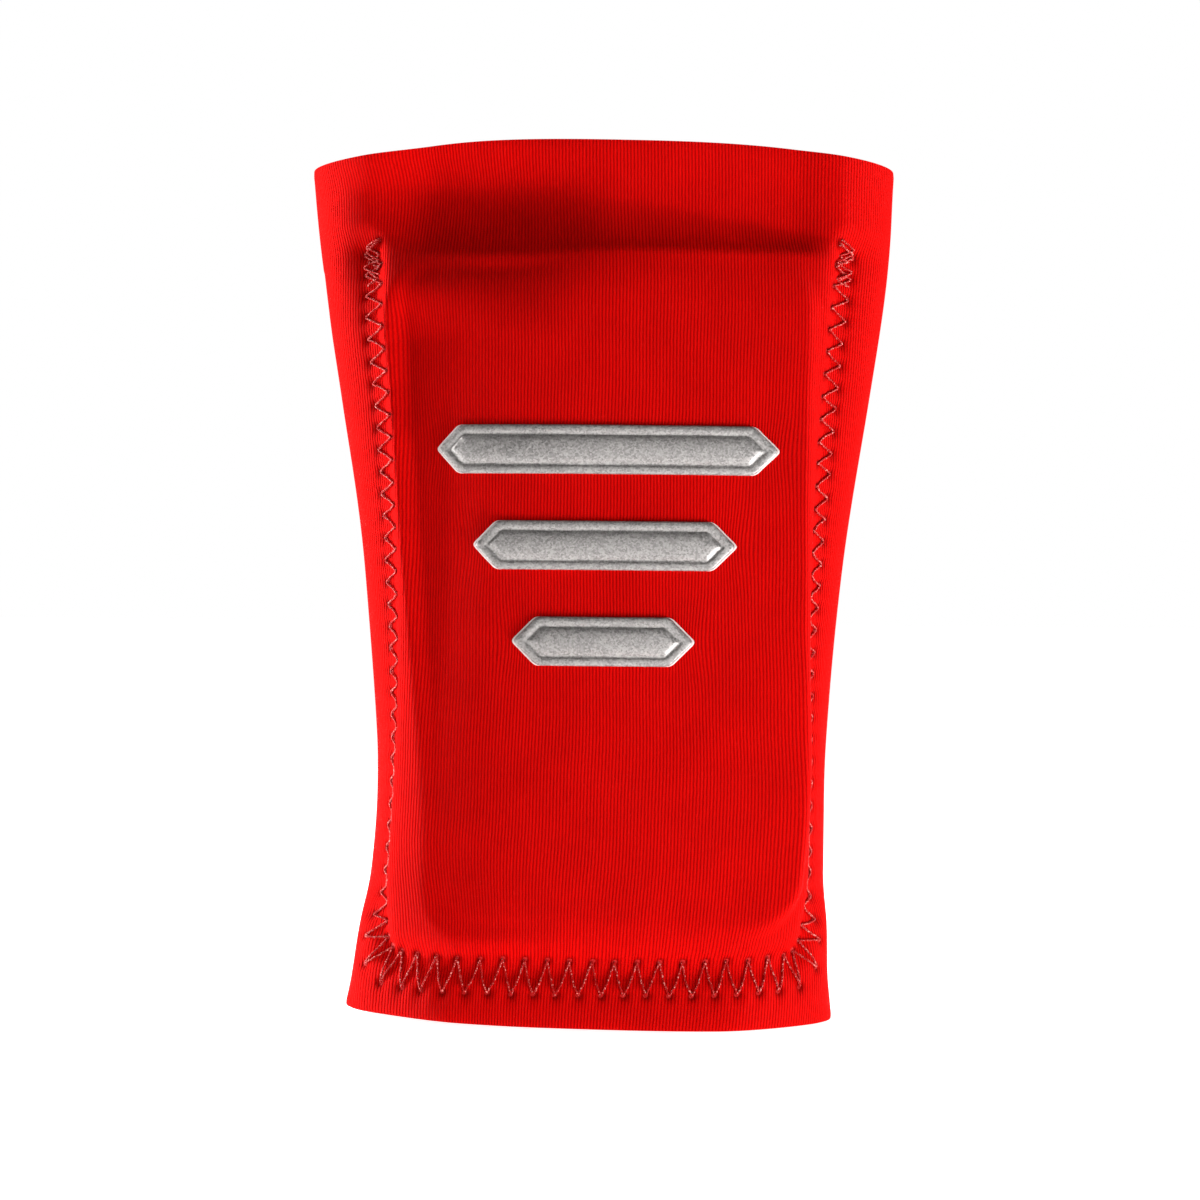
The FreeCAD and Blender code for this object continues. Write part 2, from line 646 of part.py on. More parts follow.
def main():
    os.makedirs(PARTS_FOLDER, exist_ok=True)
    parts = {}
    parts.update(sleeve_parts())
    parts["pocket_panel"] = pocket_panel()
    parts["pocket_mouth_binding"] = pocket_mouth_binding()
    parts.update(shield_parts())
    parts.update(badge_parts())
    parts["care_label"] = care_label()
    parts.update(thread_parts())
    for name, shape in parts.items():
        solids = shape.Solids
        if not solids or not all(s.isValid() for s in solids):
            print("NOT VALID:", name, len(solids))
        shape.exportStep(os.path.join(PARTS_FOLDER, name + ".step"))
        print(f"{name}: {len(solids)} solid(s), {shape.Volume:.1f} mm3")


main()
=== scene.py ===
"""The looks of a slip-on forearm guard: a red stretch sleeve with a moulded shield in a sewn inner pocket.

Lengths in this file are millimetres in the CAD's frame: +Z runs up the forearm and -Y out of the shielded
front. Meshes are scaled to metres as they are made.
"""
import math

import bpy
import numpy as np
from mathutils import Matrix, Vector


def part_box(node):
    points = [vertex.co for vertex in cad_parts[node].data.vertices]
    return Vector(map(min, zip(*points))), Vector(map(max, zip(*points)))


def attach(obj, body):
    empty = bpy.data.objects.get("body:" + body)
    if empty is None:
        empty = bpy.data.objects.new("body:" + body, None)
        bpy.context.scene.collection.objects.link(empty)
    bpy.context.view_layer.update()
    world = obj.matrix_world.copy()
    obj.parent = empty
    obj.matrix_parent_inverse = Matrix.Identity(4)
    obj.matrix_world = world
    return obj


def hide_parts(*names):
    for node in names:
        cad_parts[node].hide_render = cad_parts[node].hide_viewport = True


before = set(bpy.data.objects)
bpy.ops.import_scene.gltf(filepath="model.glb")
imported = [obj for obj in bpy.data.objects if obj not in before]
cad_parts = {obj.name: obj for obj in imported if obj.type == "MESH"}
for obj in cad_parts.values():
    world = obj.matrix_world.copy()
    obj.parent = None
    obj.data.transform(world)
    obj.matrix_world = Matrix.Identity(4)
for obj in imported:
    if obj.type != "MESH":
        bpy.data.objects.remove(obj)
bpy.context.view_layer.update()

MM = 0.001


def box_mm(node):
    """The lowest and highest corner of a CAD node, in millimetres."""
    low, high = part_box(node)
    return np.array(low) / MM, np.array(high) / MM


# ---------------------------------------------------------------- sizes, from the frame
FACE_LOW, FACE_HIGH = box_mm("sleeve_face_knit")
COVER_LOW, COVER_HIGH = box_mm("shield_front_cover")
PANEL_LOW, PANEL_HIGH = box_mm("pocket_panel")
BINDING_LOW, BINDING_HIGH = box_mm("pocket_mouth_binding")
LABEL_LOW, LABEL_HIGH = box_mm("care_label")

RIM_TOP = FACE_HIGH[2]  # the rim's height at the middle of the front and back
CROWN = 3.0  # how much lower the rim is at the two sides
RIM_HALF_WIDTH = FACE_HIGH[0]
WIDTH_STATIONS = [  # (height, half width) of the outside
    (0, 43.6), (12, 41.8), (28, 40.7), (50, 40.5), (80, 42.8),
    (110, 47.1), (135, 50.7), (150, 51.9), (156, 52.1),
]
LEAN_STATIONS = [  # (height, how far the worn sleeve's section sits to the right of the axis)
    (0, -1.7), (8, -1.2), (20, -0.45), (38, 0.3), (74, 0.4),
    (110, 0.45), (130, 0.2), (150, -0.35), (156, -0.4),
]
FRONT_STATIONS = [  # (height, depth in front of the axis)
    (0, 17.0), (8, 17.3), (13, 19.2), (20, 22.4), (28, 23.0), (70, 23.0), (124, 23.0), (130, 22.6),
    (137, 21.3), (143, 21.1), (150, 21.6), (156, 22.4),
]
BACK_STATIONS = [  # (height, depth behind the axis)
    (0, 17.0), (20, 16.0), (45, 15.8), (90, 18.6), (130, 22.4), (150, 23.6), (156, 23.8),
]
FRONT_FULLNESS = 2.7
BACK_FULLNESS = 2.3
FACE_KNIT = 0.4
BOND = 0.03
FOAM_CORE = 1.0
LINING = 0.3
WALL = FACE_KNIT + FOAM_CORE + LINING + 2 * BOND
SKIN_LIFT = FACE_LOW[2]
BUTT_GAP = 0.02

SHIELD_BOTTOM, SHIELD_TOP = COVER_LOW[2], COVER_HIGH[2]
SHIELD_MIDDLE = (SHIELD_TOP + SHIELD_BOTTOM) / 2
SHIELD_HALF_WIDTH_TOP = 36.2
SHIELD_HALF_WIDTH_BOTTOM = 32.4
SHIELD_CORNER = 9.0
SHIELD_RADIUS = 110.0
SHIELD_FRONT_Y = COVER_LOW[1]
SHIELD_THICKNESS = 6.4

POCKET_BOTTOM, POCKET_MOUTH = PANEL_LOW[2], PANEL_HIGH[2]
POCKET_THICKNESS = 0.8
POCKET_BOND = 0.15
POCKET_CLEARANCE = 0.45
MOUTH_EASE = 1.1
POCKET_SEWN_TO = 12.6
POCKET_FREE_FROM = 16.0

SEAM_STATIONS = [  # (height, distance of the side seams from the middle)
    (5, 38.6), (24, 39.0), (56, 38.2), (84, 38.9), (109, 40.3), (137, 43.2), (150, 44.5),
]
SEAM_BOTTOM = 9.5
SEAM_TOP = 136.5
SEAM_CORNER = 7.0
ZIGZAG_STEP = 1.93  # along the seam, from one needle hole to the next
ZIGZAG_SIDE = 2.3  # half the zigzag's width down the sides
ZIGZAG_BOTTOM = 2.95  # and along the bottom

THREAD_RADIUS = 0.19
INNER_THREAD_RADIUS = 0.2
THREAD_TWIST = 0.95  # length of one turn of a thread's plies
WALE_PITCH = 0.57  # from one rib of the knit to the next
COURSE_PITCH = 0.5

PLATE_SHIFT_BOTTOM, PLATE_SHIFT_TOP = 2.2, -0.8  # how far the shield's imprint sits to the right
PLATE_SPREAD = 1.4  # how much wider the imprint is at the top
PLATE_RADIUS_LEFT, PLATE_RADIUS_RIGHT = 100.0, 210.0
WRIST_EASE = 3.0  # how far the front of the wrist end stands out beyond its plain section
SEAM_TROUGH_BOTTOM, SEAM_TROUGH_SIDE = 1.5, 2.5
TROUGH_INSIDE = 2.0  # how far inside the bottom seam its trough is deepest
WRIST_LIFT = 1.0  # of the wrist-end rim at the left
WRIST_BOW = 0.7  # and how much more it lifts towards that side
CREASE_LEFT, CREASE_RIGHT = 148.6, 139.0
DENT_LEFT, DENT_RIGHT = 4.0, 2.7
SLUMP = 6.3  # how far the cloth sags back at the shield's upper left corner

BAR_HEIGHT = 8.4
BAR_POINT = 4.2
BAR_PLACES = {}  # name: (height of its middle, half width)
for bar_name in ("top", "middle", "bottom"):
    bar_low, bar_high = box_mm("badge_bar_" + bar_name)
    BAR_PLACES[bar_name] = (bar_low[2] + bar_high[2]) / 2, bar_high[0]


# ---------------------------------------------------------------- small helpers
def smooth(value, low, high):
    t = np.clip((value - low) / (high - low), 0.0, 1.0)
    return t * t * (3 - 2 * t)


def hump(value, middle, width):
    return np.exp(-(((value - middle) / width) ** 2))


def unit(v):
    return v / np.maximum(np.linalg.norm(v, axis=-1, keepdims=True), 1e-9)


def run_along(line):
    """Distance of each point of a line from its first point."""
    return np.concatenate([[0.0], np.cumsum(np.linalg.norm(np.diff(line, axis=0), axis=1))])


def square_to(line):
    """Unit vectors square to a line in its plane, on its right."""
    tangent = unit(np.gradient(line, axis=0))
    return np.stack([tangent[:, 1], -tangent[:, 0]], axis=1)


def along(stations, z):
    """Smooth values at heights z, by cubic Hermite steps between (height, value) stations."""
    zs, vs = np.array(stations, float).T
    slopes = np.gradient(vs, zs)
    slopes[1:-1] = (vs[2:] - vs[:-2]) / (zs[2:] - zs[:-2])
    z = np.clip(z, zs[0], zs[-1])
    i = np.clip(np.searchsorted(zs, z, side="right") - 1, 0, len(zs) - 2)
    h = zs[i + 1] - zs[i]
    t = (z - zs[i]) / h
    return (
        vs[i] * (2 * t**3 - 3 * t**2 + 1)
        + h * slopes[i] * (t**3 - 2 * t**2 + t)
        + vs[i + 1] * (3 * t**2 - 2 * t**3)
        + h * slopes[i + 1] * (t**3 - t**2)
    )


# ---------------------------------------------------------------- the sleeve's plain surface
def wall_point(turn, z):
    """Points of the plain outside; turn is 0 at the middle of the front and +-pi at the back's."""
    turn, z = np.broadcast_arrays(np.asarray(turn, float), np.asarray(z, float))
    x_part, y_part = np.sin(turn), -np.cos(turn)
    front = y_part < 0
    a = along(WIDTH_STATIONS, z)
    b = np.where(front, along(FRONT_STATIONS, z), along(BACK_STATIONS, z))
    n = np.where(front, FRONT_FULLNESS, BACK_FULLNESS)
    size = (np.abs(x_part) ** n + np.abs(y_part) ** n) ** (1 / n)
    return np.stack([a * x_part / size, b * y_part / size, z], axis=-1)


def lean(z):
    """The sideways shift of the sleeve at heights z, as vectors."""
    z = np.asarray(z, float)
    return np.stack([along(LEAN_STATIONS, z), 0 * z, 0 * z], axis=-1)


def on_front(turn):
    return (np.abs(turn) < math.pi / 2) * 1.0


def wall_normal(turn, z):
    round_way = wall_point(turn + 1e-3, z) - wall_point(turn - 1e-3, z)
    up_way = wall_point(turn, z + 0.1) - wall_point(turn, z - 0.1)
    return unit(np.cross(round_way, up_way))


TABLE_Z = np.arange(-3.0, 160.1, 0.5)
TABLE_TURN = np.linspace(0.0, math.pi, 901)
_points = wall_point(TABLE_TURN[None, :], TABLE_Z[:, None])
_steps = np.linalg.norm(np.diff(_points, axis=1), axis=2)
TABLE_GIRTH = np.concatenate([np.zeros((len(TABLE_Z), 1)), np.cumsum(_steps, axis=1)], axis=1)
_quarter = np.searchsorted(TABLE_TURN, math.pi / 2)
SEAM_GIRTH = np.array([
    np.interp(seam_x, _points[i, : _quarter + 1, 0], TABLE_GIRTH[i, : _quarter + 1])
    for i, seam_x in enumerate(along(SEAM_STATIONS, TABLE_Z))
])
BACK_GIRTH = TABLE_GIRTH[:, -1]


def seam_girth(z):
    """How far round from the middle of the front the side seams lie."""
    return np.interp(z, TABLE_Z, SEAM_GIRTH)


def back_girth(z):
    return np.interp(z, TABLE_Z, BACK_GIRTH)


def table_place(z):
    """Where heights z lie in the table, as row numbers with a fraction."""
    return np.clip((z - TABLE_Z[0]) / (TABLE_Z[1] - TABLE_Z[0]), 0, len(TABLE_Z) - 1.001)


def turn_at_girth(s, z):
    """The turn of points that lie s mm round from the middle of the front; s may be negative."""
    s, z = np.broadcast_arrays(np.asarray(s, float), np.asarray(z, float))
    place = table_place(z)
    row = place.astype(int)
    found = np.empty(s.shape)
    for i in np.unique(row):
        here = row == i
        below = np.interp(np.abs(s[here]), TABLE_GIRTH[i], TABLE_TURN)
        above = np.interp(np.abs(s[here]), TABLE_GIRTH[i + 1], TABLE_TURN)
        found[here] = below + (above - below) * (place[here] - i)
    return np.sign(s) * found


def girth_at_x(x, z):
    """How far round from the middle of the front the point of the front with that x lies."""
    x, z = np.broadcast_arrays(np.asarray(x, float), np.asarray(z, float))
    a, b = along(WIDTH_STATIONS, z), along(FRONT_STATIONS, z)
    share = np.clip(np.abs(x) / a, 0, 0.9999)
    y = b * (1 - share**FRONT_FULLNESS) ** (1 / FRONT_FULLNESS)
    turn = np.arctan2(np.abs(x) / a, y / b)
    row = table_place(z).astype(int)
    found = np.empty(x.shape)
    for i in np.unique(row):
        here = row == i
        found[here] = np.interp(turn[here], TABLE_TURN, TABLE_GIRTH[i])
    return np.sign(x) * found


# ---------------------------------------------------------------- relief: what the wear and sewing do to it
def shield_half_width(z):
    share = np.clip((z - SHIELD_BOTTOM) / (SHIELD_TOP - SHIELD_BOTTOM), 0, 1)
    return SHIELD_HALF_WIDTH_BOTTOM + share * (SHIELD_HALF_WIDTH_TOP - SHIELD_HALF_WIDTH_BOTTOM)


def inside_corner(across, up, corner):
    """Distance inside an outline with round corners, from the distances past its corner's middle."""
    outside = np.hypot(np.maximum(across, 0), np.maximum(up, 0))
    return corner - outside - np.minimum(np.maximum(across, up), 0)


def inside_shield(x, z):
    """Distance inside the shield's outline, negative outside it."""
    half_height = (SHIELD_TOP - SHIELD_BOTTOM) / 2
    across = np.abs(x) - (shield_half_width(z) - SHIELD_CORNER)
    return inside_corner(across, np.abs(z - SHIELD_MIDDLE) - (half_height - SHIELD_CORNER), SHIELD_CORNER)


def beside_seam(s, z):
    """Distance inside the U of the pocket's seam, measured on the surface; negative outside it."""
    across = np.abs(s) - (seam_girth(z) - SEAM_CORNER)
    return inside_corner(across, (SEAM_BOTTOM + SEAM_CORNER) - z, SEAM_CORNER)


def plate_relief(x, z, front):
    """How far the sleeve's front leaves its plain section to lie on the shield's flatter curve."""
    b = along(FRONT_STATIONS, z)
    share = np.clip(np.abs(x) / along(WIDTH_STATIONS, z), 0, 0.999)
    plain = -b * (1 - share**FRONT_FULLNESS) ** (1 / FRONT_FULLNESS)
    plate = -b + x**2 / (2 * np.where(x > 0, PLATE_RADIUS_RIGHT, PLATE_RADIUS_LEFT))
    plate = plate + 0.007 * np.maximum(-x - 17.0, 0.0) ** 2 * smooth(z, 15.0, 75.0)
    shift = PLATE_SHIFT_BOTTOM + (PLATE_SHIFT_TOP - PLATE_SHIFT_BOTTOM) * smooth(z, 30.0, 125.0)
    shield = inside_shield(x - shift, z) + PLATE_SPREAD * smooth(z, 55.0, 125.0)
    worn = 1 - 0.85 * smooth(x, -14.0, -28.0) * smooth(z, SHIELD_TOP - 14.0, SHIELD_TOP - 3.0)
    return (plain - plate) * smooth(shield, -1.2, 2.4) * worn * front


def crease_height(x):
    """The crease above the shield runs down from left to right."""
    return CREASE_LEFT + (CREASE_RIGHT - CREASE_LEFT) * np.clip((x + 30.0) / 62.0, -0.1, 1.1)


def dent(s, x, z, front):
    """The hollow between the shield's top edge and the rim: long at the left, short at the right."""
    crease = crease_height(x)
    start = SHIELD_TOP + 1.8
    up = np.clip((z - start) / (crease - start), 0.0, 1.0)
    back = 1 - 0.2 * smooth(z, crease, RIM_TOP + 4.0)
    left_share = smooth(x, 22.0, -26.0)
    soft = smooth(x, 6.0, -14.0)
    fall = (1 - (1 - up) ** 1.3) * (1 - soft) + smooth(up, -0.15, 1.0) * soft
    depth = DENT_RIGHT + (DENT_LEFT - DENT_RIGHT) * left_share
    across = smooth(x, -43.0, -31.0) * smooth(x, 42.0, 33.0)
    slump = SLUMP * smooth(x, 3.0, -20.0) * smooth(s, -66.0, -28.0)
    slump = slump * smooth(z, SHIELD_TOP - 13.0, SHIELD_TOP + 13.0)
    slump = slump * (1 - 0.5 * smooth(z, SHIELD_TOP + 12.0, RIM_TOP))
    return (depth * fall * back * across + slump) * front


def large_relief(s, x, z, front):
    """Soft shapes of the sleeve, in mm along its normal: the plate, the seam's trough, the hollow above."""
    seam = beside_seam(s, z)
    sewn = smooth(z, SEAM_TOP + 3.5, SEAM_TOP - 3.0)
    beside = smooth(z, SEAM_BOTTOM + 3.0, SEAM_BOTTOM + 16.0)
    depth = SEAM_TROUGH_BOTTOM + (SEAM_TROUGH_SIDE - SEAM_TROUGH_BOTTOM) * beside
    width = np.where(seam > 0, 2.8, 2.6 + 4.6 * beside)
    trough = -depth * hump(seam, TROUGH_INSIDE * (1 - beside), width) * sewn
    beyond = 0.35 * hump(seam, -6.5, 3.5) * sewn * (1 - beside)
    sag = 0.10 * np.sin(s * 0.105 + z * 0.047) * np.sin(z * 0.071 + 0.9)
    sag = sag + 0.06 * np.sin(s * 0.23 - z * 0.11 + 2.0)
    sag = sag * smooth(z, 0.0, 12.0) * smooth(z, RIM_TOP, RIM_TOP - 10.0)
    ease = WRIST_EASE * smooth(z, 24.0, 8.0) * smooth(np.abs(x), 40.0, 22.0) * front
    return plate_relief(x, z, front) + trough + beyond + ease - dent(s, x, z, front) + sag


def sleeve_point(s, z, out=0.0):
    """A point of the shaped sleeve, out mm outside its face."""
    turn = turn_at_girth(s, z)
    place = wall_point(turn, z)
    relief = large_relief(s, place[..., 0], z, on_front(turn))
    return place + wall_normal(turn, z) * (relief + out)[..., None] + lean(z)


# ---------------------------------------------------------------- meshes
def new_object(name, mesh):
    thing = bpy.data.objects.new(name, mesh)
    bpy.context.scene.collection.objects.link(thing)
    return thing


def make_mesh(name, points, faces, sharp=50.0, knit=None):
    """A smooth-shaded object from points in mm. knit is (wale, course, painted shade at the needle holes)
    for each point.
    """
    mesh = bpy.data.meshes.new(name)
    mesh.from_pydata((np.asarray(points, float).reshape(-1, 3) * MM).tolist(), [], faces)
    mesh.polygons.foreach_set("use_smooth", [True] * len(mesh.polygons))
    if sharp:
        mesh.set_sharp_from_angle(angle=math.radians(sharp))
    if knit is not None:
        attribute = mesh.attributes.new("knit", "FLOAT_VECTOR", "POINT")
        attribute.data.foreach_set("vector", np.asarray(knit, np.float32).ravel())
    mesh.update()
    return new_object(name, mesh)


def grid_faces(rows, columns, start=0, flip=False, wrap=False):
    """Quads of a grid of points numbered row by row."""
    last = columns if wrap else columns - 1
    r, c = np.meshgrid(np.arange(rows - 1), np.arange(last), indexing="ij")
    right = (c + 1) % columns
    a, b = r * columns + c, r * columns + right
    quads = np.stack([a, b, b + columns, a + columns], axis=-1).reshape(-1, 4) + start
    return (quads[:, ::-1] if flip else quads).tolist()


def closed_sheet(name, outer, inner, sharp=50.0, knit=None):
    """A closed sheet between two grids of points, [row, column], joined round their edge."""
    rows, columns = outer.shape[:2]
    count = rows * columns
    faces = grid_faces(rows, columns) + grid_faces(rows, columns, count, flip=True)
    index = np.arange(count).reshape(rows, columns)
    ring = np.concatenate([index[0, :], index[1:, -1], index[-1, -2::-1], index[-2:0:-1, 0]])
    following = np.roll(ring, -1)
    faces += np.stack([following, ring, ring + count, following + count], axis=-1).tolist()
    both = None if knit is None else np.concatenate([knit.reshape(-1, 3)] * 2)
    return make_mesh(name, np.concatenate([outer.reshape(-1, 3), inner.reshape(-1, 3)]), faces, sharp, both)


# ---------------------------------------------------------------- needle holes and puckers
def seam_line(step):
    """The pocket seam as (s, z) points at equal distances: down the -X side, along the bottom and up."""
    side_z = np.arange(SEAM_TOP, SEAM_BOTTOM + SEAM_CORNER, -0.25)
    side = np.stack([seam_girth(side_z), side_z], axis=1)
    angle = np.radians(np.linspace(0, 90, 30))
    corner_s = float(seam_girth(SEAM_BOTTOM + SEAM_CORNER)) - SEAM_CORNER
    corner = np.stack([
        corner_s + SEAM_CORNER * np.cos(angle),
        SEAM_BOTTOM + SEAM_CORNER - SEAM_CORNER * np.sin(angle),
    ], axis=1)
    flat_s = np.arange(corner_s - 0.25, 0.0, -0.25)
    flat = np.stack([flat_s, np.full(len(flat_s), SEAM_BOTTOM)], axis=1)
    half = np.concatenate([side, corner, flat])
    line = np.concatenate([half * [-1, 1], [[0.0, SEAM_BOTTOM]], half[::-1]])
    run = run_along(line)
    count = int(round(run[-1] / step))
    target = np.linspace(0, run[-1], count + 1)
    return np.stack([np.interp(target, run, line[:, 0]), np.interp(target, run, line[:, 1])], axis=1)


def zigzag_holes(line, seed):
    """Needle holes alternately inside and outside the line, with the small unevenness of real sewing."""
    rng = np.random.default_rng(seed)
    low = smooth(line[:, 1], SEAM_BOTTOM + 9.0, SEAM_BOTTOM + 1.0)
    half_width = ZIGZAG_SIDE + (ZIGZAG_BOTTOM - ZIGZAG_SIDE) * low
    side = np.where(np.arange(len(line)) % 2 == 0, -1.0, 1.0)
    wander = rng.normal(0, 0.07, (len(line), 2))
    return line + square_to(line) * (half_width * side)[:, None] + wander


SEAM_HOLES = zigzag_holes(seam_line(ZIGZAG_STEP), 11)


def nearest_hole(s, z, holes):
    """Distance of each (s, z) from its nearest needle hole, looking only at points near the seam."""
    distance = np.full(s.shape, 99.0)
    near = np.abs(beside_seam(s, z)) < 5.5
    points = np.stack([s[near], z[near]], axis=1)
    best = np.full(len(points), 99.0)
    for hole in holes:
        best = np.minimum(best, np.hypot(points[:, 0] - hole[0], points[:, 1] - hole[1]))
    distance[near] = best
    return distance


def fine_relief(s, z):
    """Needle-hole dimples, and the small folds that the zigzag pulls into the cloth beside the seam."""
    seam = beside_seam(s, z)
    sewn = smooth(z, SEAM_TOP + 2.0, SEAM_TOP)
    hole = nearest_hole(s, z, SEAM_HOLES)
    dimple = -0.36 * np.exp(-((hole / 0.6) ** 2)) - 0.24 * np.exp(-((hole / 1.3) ** 2))
    turning = np.hypot(np.abs(s) - (seam_girth(z) - SEAM_CORNER), z - (SEAM_BOTTOM + SEAM_CORNER))
    bottom = smooth(z, SEAM_BOTTOM + 7.0, SEAM_BOTTOM + 3.5) * (turning > 0)
    period = 2 * ZIGZAG_STEP
    fold_side = np.cos(2 * math.pi * (z - SEAM_TOP) / period)
    fold_bottom = np.cos(2 * math.pi * s / period + 0.6)
    fold = np.where(bottom > 0.5, fold_bottom, fold_side)
    beside = hump(seam, ZIGZAG_BOTTOM + 1.4, 2.0) + 0.6 * hump(seam, -ZIGZAG_BOTTOM - 1.0, 1.6)
    folds = 0.10 * fold * beside
    return (dimple + folds * (0.35 + 0.65 * bottom)) * sewn, hole


# ---------------------------------------------------------------- sleeve plies
def rim_height(s):
    """The elbow-end rim's height s mm round from the middle of the front."""
    x = wall_point(turn_at_girth(s, RIM_TOP - CROWN), RIM_TOP - CROWN)[..., 0]
    radius = (RIM_HALF_WIDTH**2 + CROWN**2) / (2 * CROWN)
    worn = 0.45 * smooth(x, 0.0, 46.0) + 0.35 * hump(x, -22.0, 17.0)
    return RIM_TOP - radius + np.sqrt(radius**2 - x**2) + worn


def wrist_height(s):
    """The wrist-end rim lifts a little at the left, where it flares."""
    front = smooth(np.abs(s), 92.0, 60.0)
    return SKIN_LIFT + (WRIST_LIFT * smooth(s, 34.0, -44.0) + WRIST_BOW * smooth(-s, 8.0, 50.0)) * front


def ply_grid(front_columns, seam_columns, back_columns, row_heights):
    """(s, z) grids for a ply: columns follow the side seams, closest beside them, and rows the two rims."""
    near_seam, past_seam = 0.88, 1.055
    half = np.concatenate([
        np.linspace(0, near_seam, front_columns, endpoint=False),
        np.linspace(near_seam, past_seam, seam_columns, endpoint=False),
        past_seam + (2 - past_seam) * np.linspace(0, 1, back_columns),
    ])
    q = np.concatenate([-half[:0:-1], half])
    z_share = np.asarray(row_heights)[:, None]
    z = np.repeat(z_share * (RIM_TOP - CROWN), len(q), axis=1)
    for _ in range(3):
        s = girth_of_column(q[None, :], z)
        z = wrist_height(s) + z_share * (rim_height(s) - wrist_height(s))
    return girth_of_column(q[None, :], z), z


def girth_of_column(q, z):
    """q is 0 at the middle of the front, +-1 at the side seams and +-2 at the middle of the back."""
    size = np.abs(q)
    seam, back = seam_girth(z), back_girth(z) - BUTT_GAP / 2
    return np.sign(q) * np.where(size <= 1, size * seam, seam + (size - 1) * (back - seam))


def wale_number(s, z):
    """Which rib a point lies on: ribs run up the sleeve and fan out a little with its girth."""
    spread = (seam_girth(z) / seam_girth(60.0)) ** 0.45
    number = s / (WALE_PITCH * spread)
    seam = beside_seam(s, z)
    pulled = hump(z, SEAM_BOTTOM + 4.5, 3.5) * smooth(seam, 0.0, 3.0)
    drawn = hump(s, -30.0, 14.0) * smooth(z, 34.0, SEAM_BOTTOM)
    number = number - 5.0 * drawn + 0.2 * pulled * np.sin(2 * math.pi * s / (2 * ZIGZAG_STEP) + 0.6)
    number = number + 0.25 * np.sin(z * 0.083 + s * 0.05) + 0.12 * np.sin(z * 0.31 + s * 0.11 + 1.3)
    for middle_z, reach in BAR_PLACES.values():
        for side in (-1, 1):
            away = s - side * (reach + 0.6)
            number = number + side * 1.5 * np.exp(-(away / 3.0) ** 2) * hump(z, middle_z, 6.0)
    return number


def row_shares(fine_to, fine_rows, coarse_rows):
    """Heights of a ply's rows as shares of the sleeve's, close together near the bottom seam."""
    low = np.linspace(0, fine_to, fine_rows, endpoint=False)
    return np.concatenate([low, np.linspace(fine_to, 1, coarse_rows)])


def sleeve_ply(name, outer_inset, thickness, grid, lift, fine):
    """A ply of the laminate, outer_inset mm inside the face; fine adds the needle holes and folds, and
    painted shade round the needle holes.
    """
    s, z = grid
    turn = turn_at_girth(s, z)
    place, normal = wall_point(turn, z), wall_normal(turn, z)
    relief = large_relief(s, place[..., 0], z, on_front(turn))
    hole_shade = np.zeros(s.shape)
    surface_relief = relief
    if fine:
        small, hole = fine_relief(s, z)
        surface_relief = relief + small
        # Painted shade round each needle hole, passed to the material in the knit attribute.
        hole_shade = np.exp(-((hole / 0.85) ** 2))
    rim = edge_roll(z, s, thickness)
    lowered = (lift - SKIN_LIFT) * smooth(z - wrist_height(s), 1.0, 0.0)
    place = place + lean(z) + np.stack([0 * z, 0 * z, lowered], axis=-1)
    inner_relief = relief + (surface_relief - relief) * 0.6
    outer = place + normal * (surface_relief - outer_inset - rim)[..., None]
    inner = place + normal * (inner_relief - outer_inset - thickness + rim * 0.5)[..., None]
    knit = np.stack([wale_number(s, z), z / COURSE_PITCH, hole_shade], axis=-1)
    return closed_sheet(name, outer, inner, knit=knit)


def edge_roll(z, s, thickness):
    """Rounds a ply's cut edge at both rims."""
    edge = np.minimum(z - wrist_height(s), rim_height(s) - z)
    return 0.3 * thickness * np.exp(-((edge / 0.35) ** 2))


# ---------------------------------------------------------------- threads
def surface_path(points, lift):
    """Points of the sleeve's outside under (s, z) points, lifted by lift mm each."""
    points = np.asarray(points, float)
    return sleeve_point(points[:, 0], points[:, 1], np.asarray(lift, float) * np.ones(len(points)))


def stitched_path(holes, lift, dip, per_stitch, seed):
    """A thread's middle line: it bows out of the cloth between needle holes and dives in at each hole."""
    rng = np.random.default_rng(seed)
    t = np.arange(per_stitch) / per_stitch
    starts, ends = holes[:-1], holes[1:]
    bow = rng.normal(0, 0.10, (len(starts), 1, 1))
    tangent = ends - starts
    side = np.stack([-tangent[:, 1], tangent[:, 0]], axis=1)
    side = unit(side)
    flat = starts[:, None, :] + tangent[:, None, :] * t[None, :, None]
    flat = flat + side[:, None, :] * bow * np.sin(math.pi * t)[None, :, None]
    height = -dip + (lift + dip) * np.sin(math.pi * t) ** 0.45
    height = np.repeat(height[None, :], len(starts), axis=0)
    flat = np.concatenate([flat.reshape(-1, 2), holes[-1:]])
    return flat, np.concatenate([height.ravel(), [-dip]])


def frames_along(path):
    """Two directions square to a path at each point, without twist."""
    tangent = unit(np.gradient(path, axis=0))
    side = np.empty_like(tangent)
    first = np.cross(tangent[0], [0.3, 0.5, 0.8])
    side[0] = first / np.linalg.norm(first)
    for i in range(1, len(path)):
        carried = side[i - 1] - tangent[i] * np.dot(side[i - 1], tangent[i])
        side[i] = carried / max(np.linalg.norm(carried), 1e-9)
    return side, np.cross(tangent, side)


def tube(path, radius, sides):
    """Points and faces of a tube along a path, closed at both ends."""
    side, up = frames_along(path)
    angle = 2 * math.pi * np.arange(sides) / sides
    ring = side[:, None, :] * np.cos(angle)[None, :, None] + up[:, None, :] * np.sin(angle)[None, :, None]
    points = (path[:, None, :] + ring * radius).reshape(-1, 3)
    faces = grid_faces(len(path), sides, wrap=True)
    last = (len(path) - 1) * sides
    faces.append(list(range(sides - 1, -1, -1)))
    faces.append([last + i for i in range(sides)])
    return points, faces


